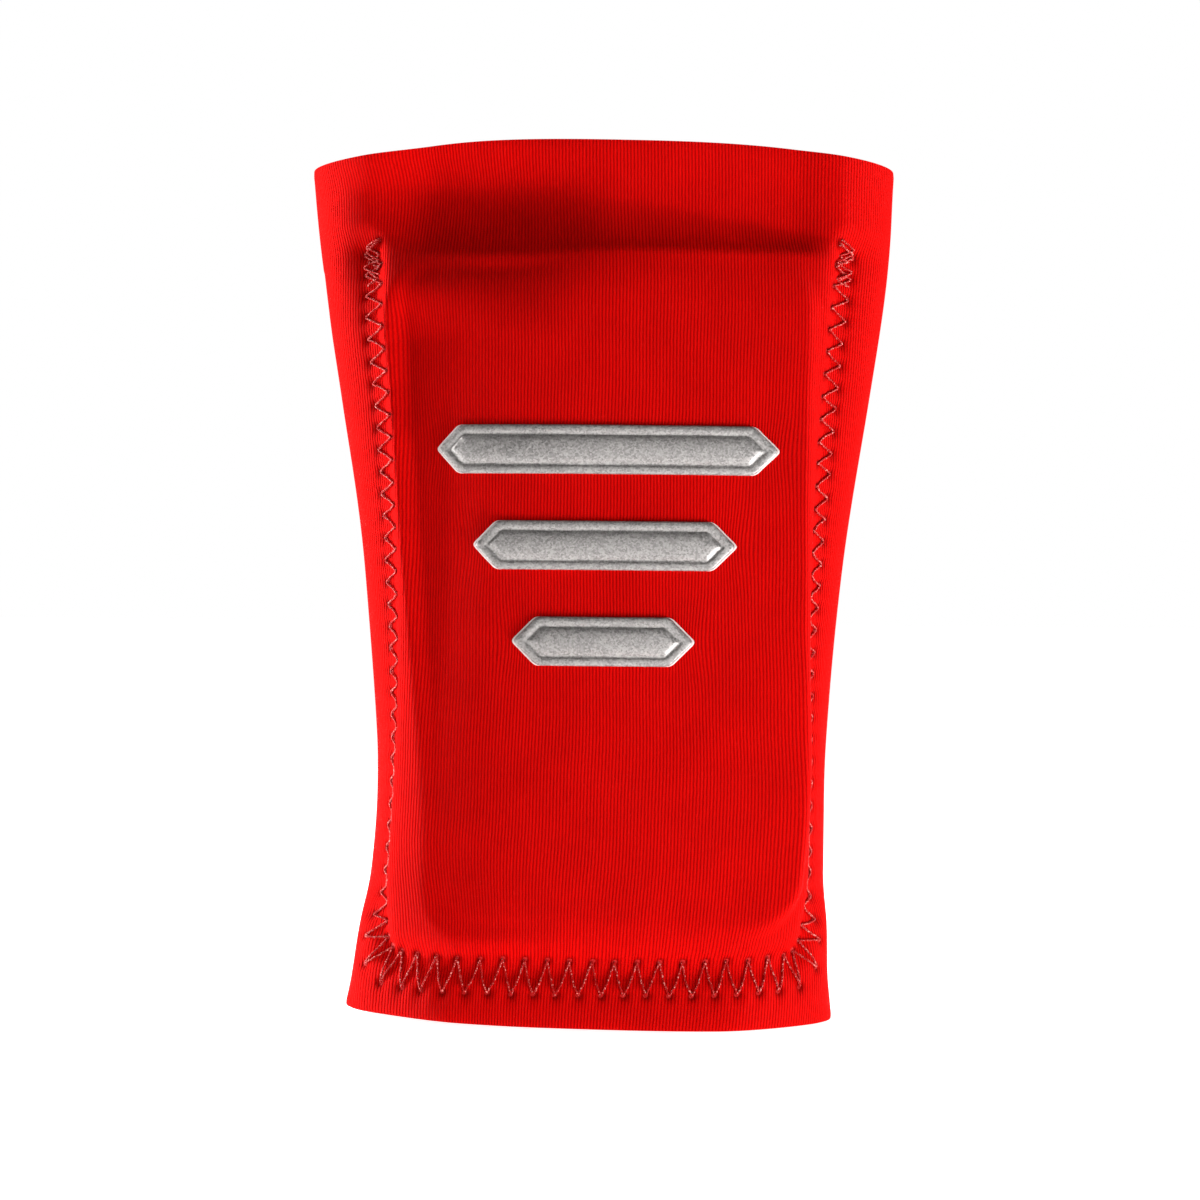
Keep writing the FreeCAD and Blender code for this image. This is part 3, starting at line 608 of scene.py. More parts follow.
def twisted_thread(name, paths, radius, twist_pitch, plies=2, sides=6):
    """A plied thread along each path: every ply is its own tube, wound round the middle line."""
    all_points, all_faces, start = [], [], 0
    for path in paths:
        run = run_along(path)
        side, up = frames_along(path)
        for ply in range(plies):
            angle = 2 * math.pi * (run / twist_pitch + ply / plies)
            wound = path + (side * np.cos(angle)[:, None] + up * np.sin(angle)[:, None]) * radius * 0.5
            points, faces = tube(wound, radius * 0.58, sides)
            all_points.append(points)
            all_faces += [[i + start for i in face] for face in faces]
            start += len(points)
    return make_mesh(name, np.concatenate(all_points), all_faces, sharp=None)


def needle_thread():
    flat, height = stitched_path(SEAM_HOLES, 0.26, 0.32, 26, 5)
    path = surface_path(flat, height)
    return twisted_thread("pocket_seam_needle_zigzag", [path], THREAD_RADIUS, THREAD_TWIST)


def bobbin_thread():
    flat, height = stitched_path(SEAM_HOLES, 0.20, 0.25, 12, 6)
    on_panel = 1 - smooth(flat[:, 1], POCKET_SEWN_TO, POCKET_FREE_FROM)
    inset = WALL + (POCKET_BOND + POCKET_THICKNESS) * on_panel
    path = surface_path(flat, -inset - height)
    return twisted_thread("pocket_seam_bobbin_zigzag", [path], INNER_THREAD_RADIUS, THREAD_TWIST)


def backtack(name, side, seed):
    """The lock-off at the top of a side seam: a few short uneven passes, one over another."""
    rng = np.random.default_rng(seed)
    paths = []
    for layer, (above, below) in enumerate(((0.4, 8.5), (-0.3, 6.5))):
        z = np.arange(SEAM_TOP + above, SEAM_TOP - below, -1.15 - 0.25 * layer)
        if layer:
            z = z[::-1]
        reach = (ZIGZAG_SIDE - 0.2) * rng.uniform(0.55, 1.08, len(z))
        s = side * (seam_girth(z) + reach * np.where(np.arange(len(z)) % 2 == 0, -1, 1))
        holes = np.stack([s + rng.normal(0, 0.15, len(z)), z + rng.normal(0, 0.18, len(z))], axis=1)
        flat, height = stitched_path(holes, 0.42 + 0.22 * layer, 0.25, 22, seed + layer)
        paths.append(surface_path(flat, height))
    return twisted_thread(name, paths, THREAD_RADIUS, THREAD_TWIST)


# ---------------------------------------------------------------- flatlock down the back
def flatlock(name, out, low, high, lift, seed):
    """Two needle rows and the threads between them, on the face (out = 1) or the lining (-1)."""
    rng = np.random.default_rng(seed)
    half_width, step = 2.5, 1.6
    count = int((high - low) / step)
    z = np.linspace(low, high, count)
    back = back_girth(z)
    level = 0.0 if out > 0 else WALL
    paths = []
    side = np.where(np.arange(count) % 2 == 0, -1.0, 1.0)
    for phase in (0, 1):
        wave = side * (1 if phase == 0 else -1)
        across = back + wave * half_width + rng.normal(0, 0.05, count)
        holes = np.stack([across, z + rng.normal(0, 0.05, count)], axis=1)
        flat, height = stitched_path(holes, lift + 0.18 * phase, 0.12, 12, seed + phase)
        paths.append(back_path(flat, height * out - level))
    for row in (-half_width, half_width):
        fine_z = np.arange(low, high, 0.16)
        wave = np.abs(np.sin(math.pi * (fine_z - low) / step)) ** 0.6
        flat = np.stack([back_girth(fine_z) + row, fine_z], axis=1)
        paths.append(back_path(flat, (-0.12 + 0.42 * wave) * out - level))
    return twisted_thread(name, paths, INNER_THREAD_RADIUS, 1.0, sides=5)


def back_path(points, out):
    """Like surface_path, for points that run past the middle of the back."""
    s, z = points[:, 0], points[:, 1]
    beyond = s > back_girth(z)
    wrapped = np.where(beyond, 2 * back_girth(z) - s, s)
    place = sleeve_point(wrapped, z, out * np.ones(len(s)))
    place[beyond, 0] = 2 * along(LEAN_STATIONS, z[beyond]) - place[beyond, 0]
    return place


# ---------------------------------------------------------------- badge
def bar_ring(half_width, inset, per_side):
    """Points (x, z) round a long hexagon with blunted corners, inset mm inside its outline."""
    slant = math.hypot(BAR_HEIGHT / 2, BAR_POINT)
    end_shift = inset * slant / (BAR_HEIGHT / 2)
    height = max(BAR_HEIGHT / 2 - inset, 0.02)
    wide = half_width - end_shift
    shoulder = wide - height * BAR_POINT / (BAR_HEIGHT / 2)
    corners = [(-shoulder, -height), (shoulder, -height), (wide, 0)]
    corners += [(-x, -z) for x, z in corners]
    blunt = 4 * max(0.06, 0.20 - inset * 0.05)
    ring = []
    for i, corner in enumerate(corners):
        here, before, after = (np.array(c, float) for c in (corner, corners[i - 1], corners[(i + 1) % 6]))
        to_before, to_after = np.linalg.norm(before - here), np.linalg.norm(after - here)
        reach = min(blunt, 0.45 * to_before, 0.45 * to_after)
        start = here + (before - here) / to_before * reach
        end = here + (after - here) / to_after * reach
        for t in np.linspace(0, 1, 5):
            ring.append((1 - t) ** 2 * start + 2 * t * (1 - t) * here + t**2 * end)
        far = after + (here - after) / to_after * min(blunt, 0.45 * to_after)
        count = per_side if i in (0, 3) else 4
        for t in np.linspace(0, 1, count + 2)[1:-1]:
            ring.append(end + (far - end) * t)
    return np.array(ring)


def bar_cap(ring, start):
    """Narrow strips across a bar's ring, from tip to tip, that follow the curved front."""
    count = len(ring)
    tip = int(np.argmax(ring[:, 0]))
    faces = []
    for k in range(count // 2):
        corners = dict.fromkeys(i % count for i in (tip - k - 1, tip - k, tip + k, tip + k + 1))
        faces.append([start + i for i in corners])
    return faces


def raised_bar(name, half_width, middle_z, profile, margin=0.0):
    """A closed raised piece on the sleeve's front; its profile is (inset, height) from outline to crest."""
    rings = [bar_ring(half_width + margin, inset, 36) for inset, _ in profile]
    count = len(rings[0])
    points = []
    for ring, (_, height) in zip(rings, profile):
        x, z = ring[:, 0], ring[:, 1] + middle_z
        points.append(sleeve_point(girth_at_x(x, z), z, np.full(count, height)))
    faces = grid_faces(len(rings), count, wrap=True)
    crest = bar_cap(rings[-1], (len(rings) - 1) * count)
    base = [face[::-1] for face in bar_cap(rings[0], 0)]
    return make_mesh(name, np.concatenate(points), faces + crest + base, sharp=38.0)


BAR_PROFILE = [
    (0.0, -0.15), (0.0, 0.42), (0.10, 0.62), (0.32, 0.74), (1.15, 0.80), (1.32, 0.72), (1.50, 0.60),
    (1.72, 0.60), (1.95, 0.78), (2.25, 0.96), (2.8, 1.08), (3.5, 1.14), (4.05, 1.16),
]
FILM_PROFILE = [(0.0, -0.12), (0.0, 0.10), (0.12, 0.17), (0.8, 0.18)]


# ---------------------------------------------------------------- shield
def shield_section(x, depth):
    """y of the surface that lies depth mm behind the shield's front face."""
    radius = SHIELD_RADIUS - depth
    return SHIELD_FRONT_Y + SHIELD_RADIUS - np.sqrt(radius**2 - x**2)


def shield_ring(inset, depth, per_side=34, per_corner=13):
    """Points round the shield's outline, inset mm inside it and depth mm behind its front."""
    corner = max(SHIELD_CORNER - inset, 0.5)
    low, high = SHIELD_BOTTOM + inset, SHIELD_TOP - inset
    points = []
    for x_sign, z_end, first in ((1, low, -90), (1, high, 0), (-1, high, 90), (-1, low, 180)):
        z_middle = z_end + corner if z_end == low else z_end - corner
        x_middle = x_sign * (shield_half_width(z_middle) - inset - corner)
        for angle in np.radians(np.linspace(first, first + 90, per_corner)):
            points.append((x_middle + corner * math.cos(angle), z_middle + corner * math.sin(angle)))
    points = np.array(points)
    filled = []
    for i in range(len(points)):
        here, after = points[i], points[(i + 1) % len(points)]
        filled.append(here)
        if i % per_corner == per_corner - 1:
            for t in np.linspace(0, 1, per_side + 2)[1:-1]:
                filled.append(here + (after - here) * t)
    filled = np.array(filled)
    return np.stack([filled[:, 0], shield_section(filled[:, 0], depth), filled[:, 1]], axis=1)


def shield_rings(profile, steps=26):
    """Rings of one side of a cover: along its (inset, depth) profile, and on to the middle."""
    rings = [shield_ring(inset, depth) for inset, depth in profile]
    last, depth = rings[-1], profile[-1][1]
    for i in range(1, steps):
        share = i / steps
        ring = last.copy()
        ring[:, 0] *= 1 - share
        ring[:, 1] = shield_section(ring[:, 0], depth)
        ring[:, 2] = SHIELD_MIDDLE + (ring[:, 2] - SHIELD_MIDDLE) * (1 - share * 0.985)
        rings.append(ring)
    return np.array(rings)


def channels(z, inside):
    """Moulded flex channels across the shield's front, and the pressed line just inside its edge."""
    period = 14.0
    across = np.abs(((z - SHIELD_BOTTOM) / period + 0.5) % 1.0 - 0.5) * period
    reach = smooth(inside, 7.0, 9.5)
    return -0.42 * np.exp(-((across / 0.95) ** 2)) * reach - 0.30 * np.exp(-(((inside - 4.2) / 0.55) ** 2))


def pressed_line(_, inside):
    """A line pressed in just inside the edge of the back."""
    return -0.25 * np.exp(-(((inside - 5.0) / 0.6) ** 2))


def shield_cover(name, profile, back_profile, pattern):
    """A closed cover: its outside with a relief pattern on it, and a plain inside behind it."""
    outer, inner = shield_rings(profile), shield_rings(back_profile, 9)
    rows, count = outer.shape[:2]
    outward = -1.0 if profile[-1][1] < SHIELD_THICKNESS / 2 else 1.0
    x, z = outer[..., 0], outer[..., 2]
    outer[..., 1] += outward * pattern(z, inside_shield(x, z))
    start = rows * count
    faces = grid_faces(rows, count, wrap=True)
    faces += grid_faces(len(inner), count, start, flip=True, wrap=True)
    join = np.arange(count)
    following = (join + 1) % count
    faces += np.stack([following, join, start + join, start + following], axis=-1).tolist()
    faces.append((start - count + join).tolist())
    faces.append((start + (len(inner) - 1) * count + join[::-1]).tolist())
    return make_mesh(name, np.concatenate([outer.reshape(-1, 3), inner.reshape(-1, 3)]), faces, sharp=45.0)


def round_edge(radius, from_depth, towards):
    """(inset, depth) round a quarter circle, from the side of the plate to its face."""
    angles = np.linspace(0, math.pi / 2, 7)
    return [(radius * (1 - math.cos(a)), from_depth + towards * radius * (math.sin(a) - 1)) for a in angles]


# ---------------------------------------------------------------- pocket
def pocket_half(z, side, count_behind=36, count_edge=12, count_side=8):
    """The pocket panel's middle line at height z, from its middle to one seam, as if that were at +X."""
    ease = MOUTH_EASE * min(max((z - SHIELD_BOTTOM) / (POCKET_MOUTH - SHIELD_BOTTOM), 0.0), 1.0)
    stand_off = POCKET_CLEARANCE + ease + POCKET_THICKNESS / 2
    round_back = 3.0
    axis_y = SHIELD_FRONT_Y + SHIELD_RADIUS
    edge_x = float(shield_half_width(z)) - round_back
    edge_radius = SHIELD_RADIUS - SHIELD_THICKNESS + round_back
    edge = np.array([edge_x, axis_y - math.sqrt(edge_radius**2 - edge_x**2)])
    s_end = seam_girth(z)
    end = sleeve_point(side * s_end, z, -(WALL + 2 * POCKET_BOND + POCKET_THICKNESS))[:2] * [side, 1]
    reach = round_back + stand_off
    to_end = end - edge
    last = math.atan2(to_end[1], to_end[0]) + math.acos(min(1.0, reach / np.linalg.norm(to_end)))
    first = math.atan2(axis_y - edge[1], -edge[0])
    radius = SHIELD_RADIUS - SHIELD_THICKNESS - stand_off
    turn = (math.pi / 2 - first) * np.arange(count_behind) / count_behind
    behind = np.stack([-radius * np.sin(turn), axis_y - radius * np.cos(turn)], axis=1)
    angle = first + (last - first) * np.linspace(0, 1, count_edge)
    edge_points = edge + np.stack([np.cos(angle), np.sin(angle)], axis=1) * reach
    share = np.linspace(0, 1, count_side + 1)[1:, None]
    straight = edge_points[-1] + (end - edge_points[-1]) * share
    free = np.concatenate([behind, edge_points, straight])
    run = run_along(free)
    flat_s = s_end * run / run[-1]
    inset = WALL + POCKET_BOND + POCKET_THICKNESS / 2
    level, depth = np.full(len(flat_s), z), np.full(len(flat_s), -inset)
    flat = sleeve_point(side * flat_s, level, depth)[:, :2] * [side, 1]
    mix = float(smooth(z, POCKET_SEWN_TO, POCKET_FREE_FROM))
    return flat * (1 - mix) + free * mix, run


def pocket_line(z, trim=0):
    """The panel's whole middle line at height z, from -X to +X, with the distance from its middle."""
    left, left_run = pocket_half(z, -1)
    right, right_run = pocket_half(z, 1)
    keep = len(left) - trim
    line = np.concatenate([left[keep - 1 : 0 : -1] * [-1, 1], right[:keep]])
    line[keep - 1] = (left[0] * [-1, 1] + right[0]) / 2
    return line, np.concatenate([-left_run[keep - 1 : 0 : -1], right_run[:keep]])


def pocket_grids(heights):
    """Front and back grids of the pocket panel, and its knit."""
    front, back, knit = [], [], []
    for z in heights:
        whole, girth = pocket_line(z)
        out = square_to(whole) * POCKET_THICKNESS / 2
        level = np.full((len(whole), 1), z)
        front.append(np.hstack([whole + out, level]))
        back.append(np.hstack([whole - out, level]))
        knit.append(np.stack([girth / 0.9, np.full(len(girth), z / 0.9), 0 * girth], axis=1))
    return np.array(front), np.array(back), np.array(knit)


def pocket_panel_piece():
    """The panel behind the shield, with round lower corners."""
    heights = np.concatenate([
        np.linspace(POCKET_BOTTOM, POCKET_SEWN_TO, 6, endpoint=False),
        np.linspace(POCKET_SEWN_TO, POCKET_FREE_FROM, 14, endpoint=False),
        np.linspace(POCKET_FREE_FROM, POCKET_MOUTH, 70),
    ])
    front, back, knit = pocket_grids(heights)
    for grid in (front, back):
        low = np.clip((POCKET_BOTTOM + SEAM_CORNER - grid[:, :, 2]) / SEAM_CORNER, 0, 1)
        widest = np.abs(grid[:, :, 0]).max(axis=1, keepdims=True)
        grid[:, :, 0] *= 1 - SEAM_CORNER * (1 - np.sqrt(1 - low**2)) / widest
    return closed_sheet("pocket_panel_cloth", front, back, knit=knit)


def binding_piece():
    """The folded elastic tape on the pocket's mouth, with its ribs and two rows of stitching pressed in."""
    top = BINDING_HIGH[2]
    low = BINDING_LOW[2]
    leaf, gap = 0.35, 0.08
    outer_half = POCKET_THICKNESS / 2 + gap + leaf
    up = np.linspace(low, top - outer_half, 16)
    loop = [(1.0, z) for z in up]
    for angle in np.linspace(0, math.pi, 9)[1:-1]:
        loop.append((math.cos(angle), top - outer_half + outer_half * math.sin(angle)))
    loop += [(-1.0, z) for z in up[::-1]]
    outer, inner, knit = [], [], []
    for across, z in loop:
        whole, girth = pocket_line(min(z, POCKET_MOUTH), trim=4)
        out = square_to(whole)
        press = 0.10 * math.exp(-(((z - low - 1.2) / 0.35) ** 2))
        outer.append(np.hstack([whole + out * across * (outer_half - press), np.full((len(whole), 1), z)]))
        level = np.full((len(whole), 1), min(z, top - leaf))
        inner.append(np.hstack([whole + out * across * (outer_half - leaf), level]))
        knit.append(np.stack([girth / 0.8, np.full(len(girth), z / 0.8), 0 * girth], axis=1))
    return closed_sheet("pocket_mouth_tape", np.array(outer), np.array(inner), knit=np.array(knit))


# ---------------------------------------------------------------- care label
def label_piece():
    """A blank satin loop that hangs from the back seam and curls a little."""
    width = LABEL_HIGH[0] - LABEL_LOW[0]
    top, bottom = LABEL_HIGH[2], LABEL_LOW[2]
    ply, gap = 0.16, 0.35
    columns = np.linspace(-width / 2, width / 2, 22)
    outer, inner = [], []
    length = top - bottom
    path = [(0.0, top - length * t) for t in np.linspace(0, 1, 24)]
    for a in np.linspace(0, math.pi, 9)[1:]:
        path.append((gap * 0.5 * (1 - math.cos(a)), bottom - gap * 0.5 * math.sin(a)))
    path += [(gap, top - length * t) for t in np.linspace(1, 0, 24)[1:]]
    path = np.array(path)
    tangent = unit(np.gradient(path, axis=0))
    for (depth, z), (t_depth, t_z) in zip(path, tangent):
        hang = (top - z) / length
        wall = along(BACK_STATIONS, np.array(z)) - WALL - 0.45
        curl = 0.5 * hang**2 * np.cos(columns / width * math.pi)
        curl = curl + 0.35 * np.sin(columns * 0.25 + 0.6) * hang**2
        for grid, shift in ((outer, ply / 2), (inner, -ply / 2)):
            y = wall - 0.9 * hang**2 - depth - curl + t_z * shift
            level = np.full(len(columns), z) - t_depth * shift
            grid.append(np.stack([columns + 0.3 * hang * np.sin(z), y, level], axis=1))
    return closed_sheet("care_label_satin", np.array(outer), np.array(inner))


# ---------------------------------------------------------------- materials
def start_material(name):
    material = bpy.data.materials.new(name)
    material.use_nodes = True
    return material, material.node_tree, material.node_tree.nodes["Principled BSDF"]


def add(tree, kind, inputs=(), **settings):
    """A node with its settings and inputs; an input is a value or another node's output."""
    made = tree.nodes.new(kind)
    for key, value in settings.items():
        setattr(made, key, value)
    for key, value in dict(inputs).items():
        if isinstance(value, bpy.types.NodeSocket):
            tree.links.new(value, made.inputs[key])
        else:
            made.inputs[key].default_value = value
    return made


def calc(tree, operation, *values):
    return add(tree, "ShaderNodeMath", dict(enumerate(values)), operation=operation).outputs[0]


def mixed(tree, factor, first, second):
    """A mix of two colours, each given as red, green and blue or as another node's output."""
    colours = [c if isinstance(c, bpy.types.NodeSocket) else (*c, 1.0) for c in (first, second)]
    inputs = {0: factor, 6: colours[0], 7: colours[1]}
    return add(tree, "ShaderNodeMix", inputs, data_type="RGBA").outputs[2]


def mapped(tree, value, low, high, most=1.0):
    """A value stretched from low..high to 0..most."""
    inputs = {"Value": value, "From Min": low, "From Max": high, "To Max": most}
    return add(tree, "ShaderNodeMapRange", inputs).outputs[0]


def noise(tree, scale, detail=2.0, roughness=0.5):
    """Noise in the object's own space; scale is features per metre."""
    place = add(tree, "ShaderNodeTexCoord").outputs["Object"]
    inputs = {"Vector": place, "Scale": scale, "Detail": detail, "Roughness": roughness}
    return add(tree, "ShaderNodeTexNoise", inputs).outputs["Fac"]


def bump(tree, shader, height, distance):
    """Bumps the shader's normal; distance is in mm."""
    made = add(tree, "ShaderNodeBump", {"Height": height, "Distance": distance * MM, "Strength": 1.0})
    tree.links.new(made.outputs[0], shader.inputs["Normal"])


def set_inputs(node, values):
    for socket, value in values.items():
        node.inputs[socket].default_value = value


def finish_shader(shader, roughness, specular, sheen=0.0, metallic=0.0):
    set_inputs(shader, {
        "Roughness": roughness, "Specular IOR Level": specular, "Metallic": metallic,
        "Sheen Weight": sheen, "Sheen Roughness": 0.45,
    })


def knit_material(name, crest, gap, rib_depth, specular=0.008, grain=0.5, rib_shade=1.0):
    """A ribbed warp knit. Its ribs follow the knit attribute: (wale, course, painted shade at the needle
    holes).
    """
    material, tree, shader = start_material(name)
    knit = add(tree, "ShaderNodeAttribute", attribute_name="knit").outputs["Vector"]
    wale, course, hole_shade = add(tree, "ShaderNodeSeparateXYZ", {0: knit}).outputs
    waver = calc(tree, "MULTIPLY_ADD", noise(tree, 900, 1.0), 0.22, wale)
    round_rib = calc(tree, "ABSOLUTE", calc(tree, "SINE", calc(tree, "MULTIPLY", waver, math.pi)))
    rib = calc(tree, "POWER", round_rib, 1.25)
    lean = calc(tree, "PINGPONG", waver, 0.5)
    row = calc(tree, "ADD", course, calc(tree, "MULTIPLY", lean, 0.9))
    wave = calc(tree, "SINE", calc(tree, "MULTIPLY", row, 2 * math.pi))
    loop = calc(tree, "MULTIPLY_ADD", wave, 0.5, 0.5)
    fuzz = noise(tree, 7000, 2.0, 0.7)
    height = calc(tree, "MULTIPLY_ADD", loop, 0.16, rib)
    height = calc(tree, "MULTIPLY_ADD", fuzz, grain, height)
    bump(tree, shader, height, rib_depth)
    # The gaps between the ribs are darkened with painted shade.
    shade = calc(tree, "MULTIPLY_ADD", rib, rib_shade, 1.0 - rib_shade)
    colour = mixed(tree, shade, gap, crest)
    patchy = calc(tree, "MULTIPLY", noise(tree, 130, 3.0), 0.30)
    worn = mixed(tree, patchy, colour, gap)
    # Pale flecks on the grain are painted glints.
    lit = mixed(tree, mapped(tree, fuzz, 0.60, 0.78, 0.5), worn, [min(1.0, c * 1.5 + 0.03) for c in crest])
    # Painted shade darkens the cloth round each needle hole.
    dark = mixed(tree, calc(tree, "MULTIPLY", hole_shade, 0.75), lit, [c * 0.35 for c in gap])
    tree.links.new(dark, shader.inputs["Base Color"])
    finish_shader(shader, 0.62, specular)
    return material


def thread_material(name, colour, pale):
    """Shiny filament thread with fine fibres; its pale glints are painted highlights in its colour."""
    material, tree, shader = start_material(name)
    glint = mapped(tree, noise(tree, 3400, 1.0), 0.58, 0.68)
    tree.links.new(mixed(tree, glint, colour, pale), shader.inputs["Base Color"])
    bump(tree, shader, noise(tree, 5200, 2.0, 0.6), 0.05)
    finish_shader(shader, 0.34, 0.14)
    return material


def glitter_material():
    """Silver glitter under clear film: each flake has its own brightness and tilt."""
    material, tree, shader = start_material("glitter_silver")
    place = add(tree, "ShaderNodeTexCoord").outputs["Object"]
    flakes = add(tree, "ShaderNodeTexVoronoi", {"Vector": place, "Scale": 3600.0})
    value = add(tree, "ShaderNodeSeparateXYZ", {0: flakes.outputs["Color"]}).outputs[0]
    tone = calc(tree, "MULTIPLY_ADD", value, 0.55, 0.2)
    broad = calc(tree, "MULTIPLY_ADD", noise(tree, 500, 2.0), 0.25, tone)
    colour = mixed(tree, broad, (0.09, 0.083, 0.080), (0.50, 0.48, 0.465))
    tree.links.new(colour, shader.inputs["Base Color"])
    tree.links.new(calc(tree, "MULTIPLY_ADD", value, 0.3, 0.28), shader.inputs["Roughness"])
    bump(tree, shader, value, 0.03)
    finish_shader(shader, 0.4, 0.5, metallic=0.55)
    return material


def plain_fine_material(name, colour, second, scale, depth, roughness, specular=0.4):
    """A material with fine mottling and grain, for foam, film and plastic."""
    material, tree, shader = start_material(name)
    coarse, fine = noise(tree, scale, 3.0), noise(tree, scale * 9, 2.0, 0.65)
    mottling = calc(tree, "MULTIPLY_ADD", coarse, 0.7, 0.1)
    tree.links.new(mixed(tree, mottling, colour, second), shader.inputs["Base Color"])
    bump(tree, shader, calc(tree, "MULTIPLY_ADD", coarse, 0.4, fine), depth)
    finish_shader(shader, roughness, specular, 0.05)
    tree.links.new(calc(tree, "MULTIPLY_ADD", fine, 0.2, roughness - 0.1), shader.inputs["Roughness"])
    return material


def weave_material(name, light, dark, per_metre, depth, roughness, hole=0.0):
    """A fine woven or meshed cloth in the object's own space, seen square to the front and back."""
    material, tree, shader = start_material(name)
    place = add(tree, "ShaderNodeTexCoord").outputs["Object"]
    x, _, z = add(tree, "ShaderNodeSeparateXYZ", {0: place}).outputs
    warp = calc(tree, "SINE", calc(tree, "MULTIPLY", x, per_metre * 2 * math.pi))
    weft = calc(tree, "SINE", calc(tree, "MULTIPLY", z, per_metre * 2 * math.pi))
    cloth = calc(tree, "MULTIPLY_ADD", calc(tree, "MULTIPLY", warp, weft), 0.5, 0.5)
    fuzz = noise(tree, per_metre * 4, 2.0, 0.6)
    height = calc(tree, "MULTIPLY_ADD", fuzz, 0.35, cloth)
    shade = calc(tree, "POWER", cloth, 1.0 + hole)
    tree.links.new(mixed(tree, shade, dark, light), shader.inputs["Base Color"])
    bump(tree, shader, height, depth)
    finish_shader(shader, roughness, 0.25, 0.1)
    return material


def coat(thing, material):
    thing.data.materials.clear()
    thing.data.materials.append(material)


# ---------------------------------------------------------------- putting the pieces together
face_knit_cloth = knit_material(
    "face_knit", (0.74, 0.0022, 0.0016), (0.12, 0.0003, 0.0003), 0.12, grain=1.15, rib_shade=0.6)
lining_cloth = knit_material("lining_knit", (0.42, 0.004, 0.004), (0.16, 0.001, 0.001), 0.05, rib_shade=0.5)
panel_cloth = knit_material("pocket_mesh", (0.34, 0.004, 0.004), (0.08, 0.001, 0.001), 0.12, rib_shade=0.8)
tape_cloth = knit_material("binding_tape", (0.46, 0.004, 0.004), (0.16, 0.001, 0.001), 0.10, specular=0.25)
foam_cloth = plain_fine_material(
    "foam_core", (0.50, 0.006, 0.005), (0.34, 0.004, 0.004), 1500, 0.05, 0.8, specular=0.2)
seam_thread = thread_material("seam_thread", (0.40, 0.002, 0.0015), (0.85, 0.30, 0.26))
glitter = glitter_material()
film = plain_fine_material("badge_film", (0.80, 0.72, 0.70), (0.62, 0.50, 0.48), 2000, 0.01, 0.4)
satin = weave_material("label_satin", (0.82, 0.81, 0.79), (0.62, 0.61, 0.60), 4200, 0.02, 0.38)
cover_front = weave_material(
    "shield_cover_front", (0.035, 0.035, 0.038), (0.010, 0.010, 0.011), 1300, 0.05, 0.6)
cover_back = weave_material(
    "shield_cover_back", (0.045, 0.045, 0.048), (0.006, 0.006, 0.007), 700, 0.12, 0.7, hole=1.5)
shell_plastic = plain_fine_material(
    "shield_shell", (0.10, 0.10, 0.105), (0.07, 0.07, 0.075), 700, 0.02, 0.45)
shield_foam = plain_fine_material(
    "shield_foam", (0.06, 0.06, 0.065), (0.03, 0.03, 0.033), 1800, 0.06, 0.9, specular=0.1)


def place_piece(thing, body, material, node):
    """Coats a piece, and puts it on its body in the place of a CAD node."""
    coat(thing, material)
    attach(thing, body)
    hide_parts(node)
    return thing


def cut(heights, widths):
    """The flat (width, length) of a cloth and its flat area in metres, from its widths at some heights."""
    heights, widths = np.asarray(heights, float), np.asarray(widths, float)
    area = float(np.sum((widths[1:] + widths[:-1]) / 2 * np.diff(heights)))
    return (float(widths.max()) * MM, float(heights[-1] - heights[0]) * MM), area * MM**2


def build_sleeve():
    fine_grid = ply_grid(130, 24, 50, row_shares(0.125, 48, 165))
    coarse_grid = ply_grid(60, 10, 40, row_shares(0.125, 12, 80))
    core_inset = FACE_KNIT + BOND
    lining_inset = core_inset + FOAM_CORE + BOND
    face = sleeve_ply("sleeve_face", 0.0, FACE_KNIT, fine_grid, SKIN_LIFT, True)
    core = sleeve_ply("sleeve_core", core_inset, FOAM_CORE, coarse_grid, 0.0, False)
    lining = sleeve_ply("sleeve_inner_knit", lining_inset, LINING, coarse_grid, SKIN_LIFT, False)
    place_piece(face, "sleeve", face_knit_cloth, "sleeve_face_knit")
    place_piece(core, "sleeve", foam_cloth, "sleeve_foam_core")
    place_piece(lining, "sleeve", lining_cloth, "sleeve_lining")


def build_threads():
    rows = [
        (needle_thread(), "pocket_seam_needle_thread"),
        (bobbin_thread(), "pocket_seam_bobbin_thread"),
        (backtack("backtack_left_thread", -1, 31), "backtack_left"),
        (backtack("backtack_right_thread", 1, 47), "backtack_right"),
        (flatlock("back_flatlock_cover", 1, 1.5, RIM_TOP - 1.2, 0.30, 61), "back_seam_cover_thread"),
        (flatlock("back_flatlock_looper", -1, 1.5, RIM_TOP - 1.2, 0.22, 71), "back_seam_looper_thread"),
    ]
    for thing, node in rows:
        place_piece(thing, "sleeve", seam_thread, node)


def build_badge():
    for name, (middle_z, half_width) in BAR_PLACES.items():
        bar = raised_bar("badge_" + name, half_width, middle_z, BAR_PROFILE)
        edge = raised_bar("badge_edge_" + name, half_width, middle_z, FILM_PROFILE, margin=0.4)
        place_piece(bar, "sleeve", glitter, "badge_bar_" + name)
        place_piece(edge, "sleeve", film, "badge_film_" + name)


def build_pocket():
    panel = place_piece(pocket_panel_piece(), "sleeve", panel_cloth, "pocket_panel")
    tape = place_piece(binding_piece(), "sleeve", tape_cloth, "pocket_mouth_binding")
    label = place_piece(label_piece(), "sleeve", satin, "care_label")
    heights = np.linspace(POCKET_BOTTOM, POCKET_MOUTH, 24)
    flat, area = cut(heights, [pocket_half(z, -1)[1][-1] + pocket_half(z, 1)[1][-1] for z in heights])


